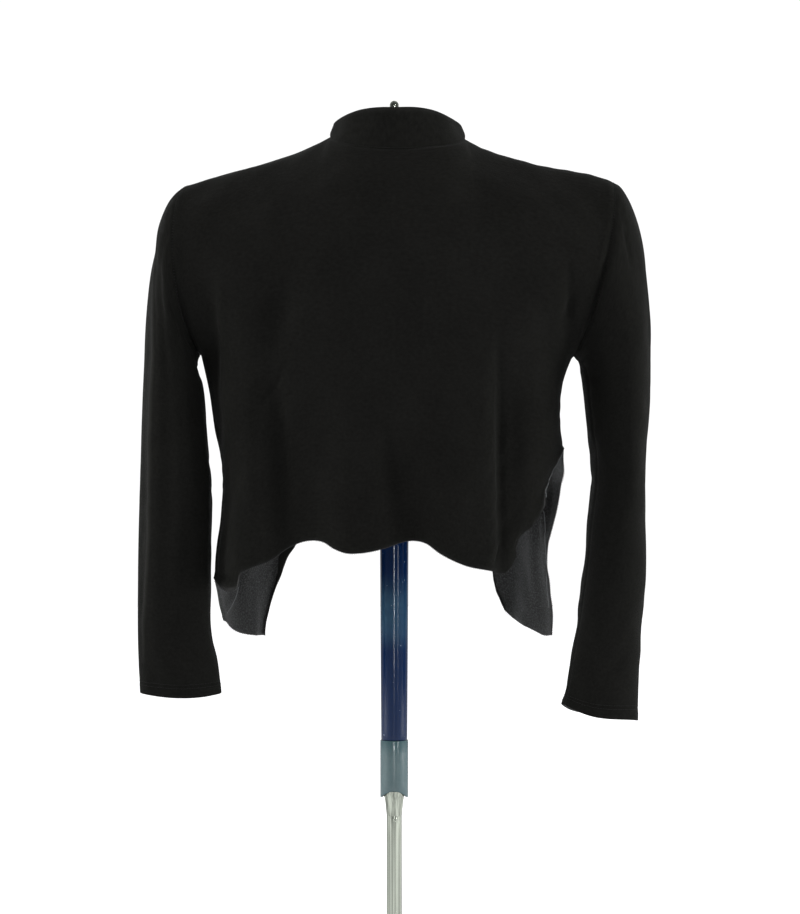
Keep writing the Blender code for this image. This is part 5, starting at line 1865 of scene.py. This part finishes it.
stand = {}
rod = radius_of("neck_rod")
rod_top = top_of("neck_rod")
dome = [(rod * math.sin(math.radians(a)), rod_top - rod + rod * math.cos(math.radians(a)))
        for a in np.linspace(0, 90, 13)]
stand["neck_rod"] = turned("neck_rod_turned", dome + [(rod, foot_of("neck_rod")), (0, foot_of("neck_rod"))],
                           chrome, 48)
post = radius_of("post")
slim = 13.6
stand["post"] = turned("post_turned", [(0, top_of("post"))] + corner(post, top_of("post"), 2)
                       + [(post, 640), (post, 480)]
                       + [(slim + (post - slim) * share, 219.5 + (480 - 219.5) * share)
                          for share in (0.8, 0.6, 0.4, 0.2, 0.02)]
                       + corner(slim, foot_of("post"), 0.6, above=False) + [(0, foot_of("post"))], navy)
wide = radius_of("ferrule")
under = foot_of("ferrule")
stand["ferrule"] = turned("ferrule_turned", [(0, top_of("ferrule"))] + corner(wide, top_of("ferrule"), 0.5)
                          + [(wide, 205), (wide, 190), (wide, under + 7)]
                          + corner(wide, under, 0.6, above=False)
                          + [(12.5, under), (12.3, under + 0.5), (12.3, under + 1.2), (0, under + 1.2)], grey)
arched_foot(stand["ferrule"], under + 0.9, 7.5)
ring = radius_of("flare")
high = top_of("flare")
stand["flare"] = turned("flare_turned", [(0, high)] + corner(ring, high, 0.3)
                        + [(ring - 0.1, high - 1.5), (11.2, high - 3.4), (10.5, high - 6.4),
                           (9.9, high - 9.4), (9.4, high - 12.4), (9, high - 16), (8.6, high - 20.5),
                           (8.25, high - 24),
                           (8.02, high - 26), (7.9, high - 26.4), (7, high - 27),
                           (0, high - 27)], chrome)
tube = radius_of("tube")
tube_top = top_of("tube") + 4
stand["tube"] = turned("tube_turned", [(0, tube_top)] + corner(tube, tube_top, 0.3)
                       + [(tube, height) for height in (120, 90, 60, 30)]
                       + [(tube, foot_of("tube")), (0, foot_of("tube"))], chrome)
foot = radius_of("base")
stand["base"] = turned("base_turned", [(0, top_of("base")), (12, top_of("base")), (60, top_of("base")),
                                       (110, top_of("base"))] + corner(foot, top_of("base"), 2.5)
                       + corner(foot, 0, 0.8, above=False) + [(0, 0)], spun_chrome, 144)
print("post", post, "mm, tube", tube, "mm radius")

# %% [markdown]
# ## The shoulder form
# The form that holds the shoulders is one moulded piece, oval in section, whose top follows the shoulder
# seams and dips at the neck. It is mostly hidden, but the open front shows it, so its rings are close and
# its ends are rounded.

# %% Mould the shoulder form
CAD_WALL = 1.7
FORM_CLEARANCE = 0.8
FORM_HALF_WIDTH = 200
FORM_HALF_HEIGHT = 17
FORM_NECK_DIP = 14
FORM_ROOF = 0.60


def shoulder_form(finish):
    """Oval rings along x, under the shoulder seams."""
    reach = FORM_HALF_WIDTH * np.sin(np.pi / 2 * np.linspace(0, 1, 40))
    xs = np.concatenate([-reach[::-1], reach[1:]])
    left = curve_at(LEFT_SHOULDER, 0, np.abs(xs))[:, 2]
    right = curve_at(RIGHT_SHOULDER, 0, -np.abs(xs))[:, 2]
    neck_side = abs(LEFT_SHOULDER[0][0]) + 14
    inside = np.clip(1.6 * (1 - np.abs(xs) / neck_side), 0, 1)
    ridge = np.minimum(left, right) - CAD_WALL - FORM_CLEARANCE - FORM_NECK_DIP * inside
    out = np.abs(xs) / FORM_HALF_WIDTH
    end = np.sqrt(np.clip(1 - (np.clip(out - 0.86, 0, 1) / 0.145)**2, 0, 1))
    depth = ((22 + 14 * out**2) * end)[:, None]
    height = ((FORM_HALF_HEIGHT + 9 * out**2) * end)[:, None]
    angle = np.linspace(0, 2 * np.pi, 49)[:-1][None, :]
    fall = FORM_ROOF * depth * np.abs(np.sin(angle)) * np.sqrt(np.clip(np.cos(angle), 0, 1))
    top = (ridge - 20 * (1 - end))[:, None]
    x = xs[:, None] + 0 * angle
    y = depth * np.sin(angle)
    z = top - height - fall + height * np.cos(angle)
    count = angle.shape[1]
    points = np.stack([x, y, z], axis=-1).reshape(-1, 3) * MM
    faces = ring_quads(len(xs), count, count).tolist()
    faces.append(list(range(count))[::-1])
    faces.append(list(range((len(xs) - 1) * count, len(xs) * count)))
    return solid("shoulder_form_moulded", points.tolist(), faces, finish)


stand["shoulder_form"] = shoulder_form(form_plastic)

# %% Check that the closed pieces face outwards
def volume_of(piece):
    """Signed volume: more than nought when the faces point outwards."""
    mesh = piece.data
    mesh.calc_loop_triangles()
    total = 0
    for triangle in mesh.loop_triangles:
        a, b, c = [mesh.vertices[v].co for v in triangle.vertices]
        total += a.dot(b.cross(c)) / 6
    return total


for piece in [*pieces.values(), *stand.values(), *stitches.values()]:
    if volume_of(piece) < 0:
        piece.data.flip_normals()
        print(piece.name, "turned the right way out")

# %% [markdown]
# ## Ride on the body and replace the CAD nodes
# Every piece rides on the one body, and each piece of cloth and of the stand replaces its CAD node, which is
# hidden.

# %% Ride and replace
for name, piece in pieces.items():
    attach(piece, "root")
    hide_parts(name)
for stitch in stitches.values():
    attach(stitch, "root")
for name, piece in stand.items():
    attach(piece, "root")
    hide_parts(name)
print("pieces declared", len(pieces) + len(stand) + len(stitches))

# %% [markdown]
# ## Floor and light
# The picture is taken against white. A pale floor and a white sky do that. The sky is bright behind the
# cardigan and dim behind the camera, as in a studio. One large soft box stands at the left side, another at
# the right and a third above, so that the folds are drawn by light that grazes the cloth. Two narrow strips
# are seen only in reflections, where they draw the faint lines down the glossy post. The large boxes are kept
# out of the reflections.

# %% Floor
floor_mesh = bpy.data.meshes.new("studio_floor")
turns = np.linspace(0, 2 * math.pi, 97)[:-1]
disc = [(6 * math.cos(a), 6 * math.sin(a), -0.0005) for a in turns]
floor_mesh.from_pydata(disc, [], [tuple(range(96))])
floor = add_object("studio_floor", floor_mesh)
pale, pale_tree, pale_shader = new_material("pale_floor", {
    "Roughness": 0.7, "Specular IOR Level": 0.1, "Emission Color": (1, 1, 1, 1)})
grain = noise(pale_tree, object_place(pale_tree), 4, 2)
feed(pale_tree, pale_shader, colour_mix(pale_tree, grain, (0.90, 0.90, 0.90), (0.94, 0.94, 0.94)))
looked_at = pale_tree.nodes.new("ShaderNodeLightPath").outputs["Is Camera Ray"]
glow = calculate(pale_tree, "MULTIPLY", looked_at, 0.85)
pale_tree.links.new(glow, pale_shader.inputs["Emission Strength"])
floor_mesh.materials.append(pale)

# %% Sky
SKY_BEHIND = 0.70
SKY_BEFORE = 0.07
sky = bpy.data.worlds.new("white_studio")
sky.use_nodes = True
bpy.context.scene.world = sky
sky_tree = sky.node_tree
sky_tree.nodes.clear()
to_camera = sky_tree.nodes.new("ShaderNodeLightPath").outputs["Is Camera Ray"]
seen = sky_tree.nodes.new("ShaderNodeBackground")
seen.inputs["Color"].default_value = (1, 1, 1, 1)
seen.inputs["Strength"].default_value = 1.05
felt = sky_tree.nodes.new("ShaderNodeBackground")
felt.inputs["Color"].default_value = (0.97, 0.985, 1, 1)
aim = sky_tree.nodes.new("ShaderNodeSeparateXYZ")
sky_tree.links.new(sky_tree.nodes.new("ShaderNodeTexCoord").outputs["Object"], aim.inputs[0])
depth_share = sky_tree.nodes.new("ShaderNodeMapRange")
depth_share.inputs["From Min"].default_value = -1
depth_share.inputs["From Max"].default_value = 0.6
depth_share.inputs["To Min"].default_value = SKY_BEHIND
depth_share.inputs["To Max"].default_value = SKY_BEFORE
sky_tree.links.new(aim.outputs["Y"], depth_share.inputs["Value"])
sky_tree.links.new(depth_share.outputs["Result"], felt.inputs["Strength"])
either = sky_tree.nodes.new("ShaderNodeMixShader")
sky_tree.links.new(to_camera, either.inputs[0])
sky_tree.links.new(felt.outputs[0], either.inputs[1])
sky_tree.links.new(seen.outputs[0], either.inputs[2])
sky_out = sky_tree.nodes.new("ShaderNodeOutputWorld")
sky_tree.links.new(either.outputs[0], sky_out.inputs["Surface"])

# %% Soft boxes
def soft_box(name, place, towards, width, height, power):
    """A rectangular soft light that faces a point."""
    data = bpy.data.lights.new(name, "AREA")
    data.shape = "RECTANGLE"
    data.size = width
    data.size_y = height
    data.energy = power
    lamp = add_object(name, data)
    lamp.location = place
    direction = lamp.location.__class__(towards) - lamp.location
    lamp.rotation_euler = direction.to_track_quat("-Z", "Y").to_euler()
    return lamp


for box in (soft_box("left_box", (2.4, 0.45, 1), (0.05, 0, 0.55), 1, 1.4, 50),
            soft_box("right_box", (-2.3, 0.46, 0.9), (-0.1, 0, 0.60), 0.8, 1.4, 54),
            soft_box("top_box", (0.1, 0.9, 2.4), (0, 0, 0.75), 1.8, 0.9, 22)):
    box.visible_glossy = False
for strip in (soft_box("middle_strip", (0.05, 3.2, 0.60), (0, 0, 0.4), 0.06, 1.8, 26),
              soft_box("right_strip", (-1.60, 2.6, 0.55), (0, 0, 0.4), 0.05, 1.6, 9)):
    strip.visible_diffuse = False
bpy.context.scene.view_settings.view_transform = "Standard"
print("lights", len(bpy.data.lights))
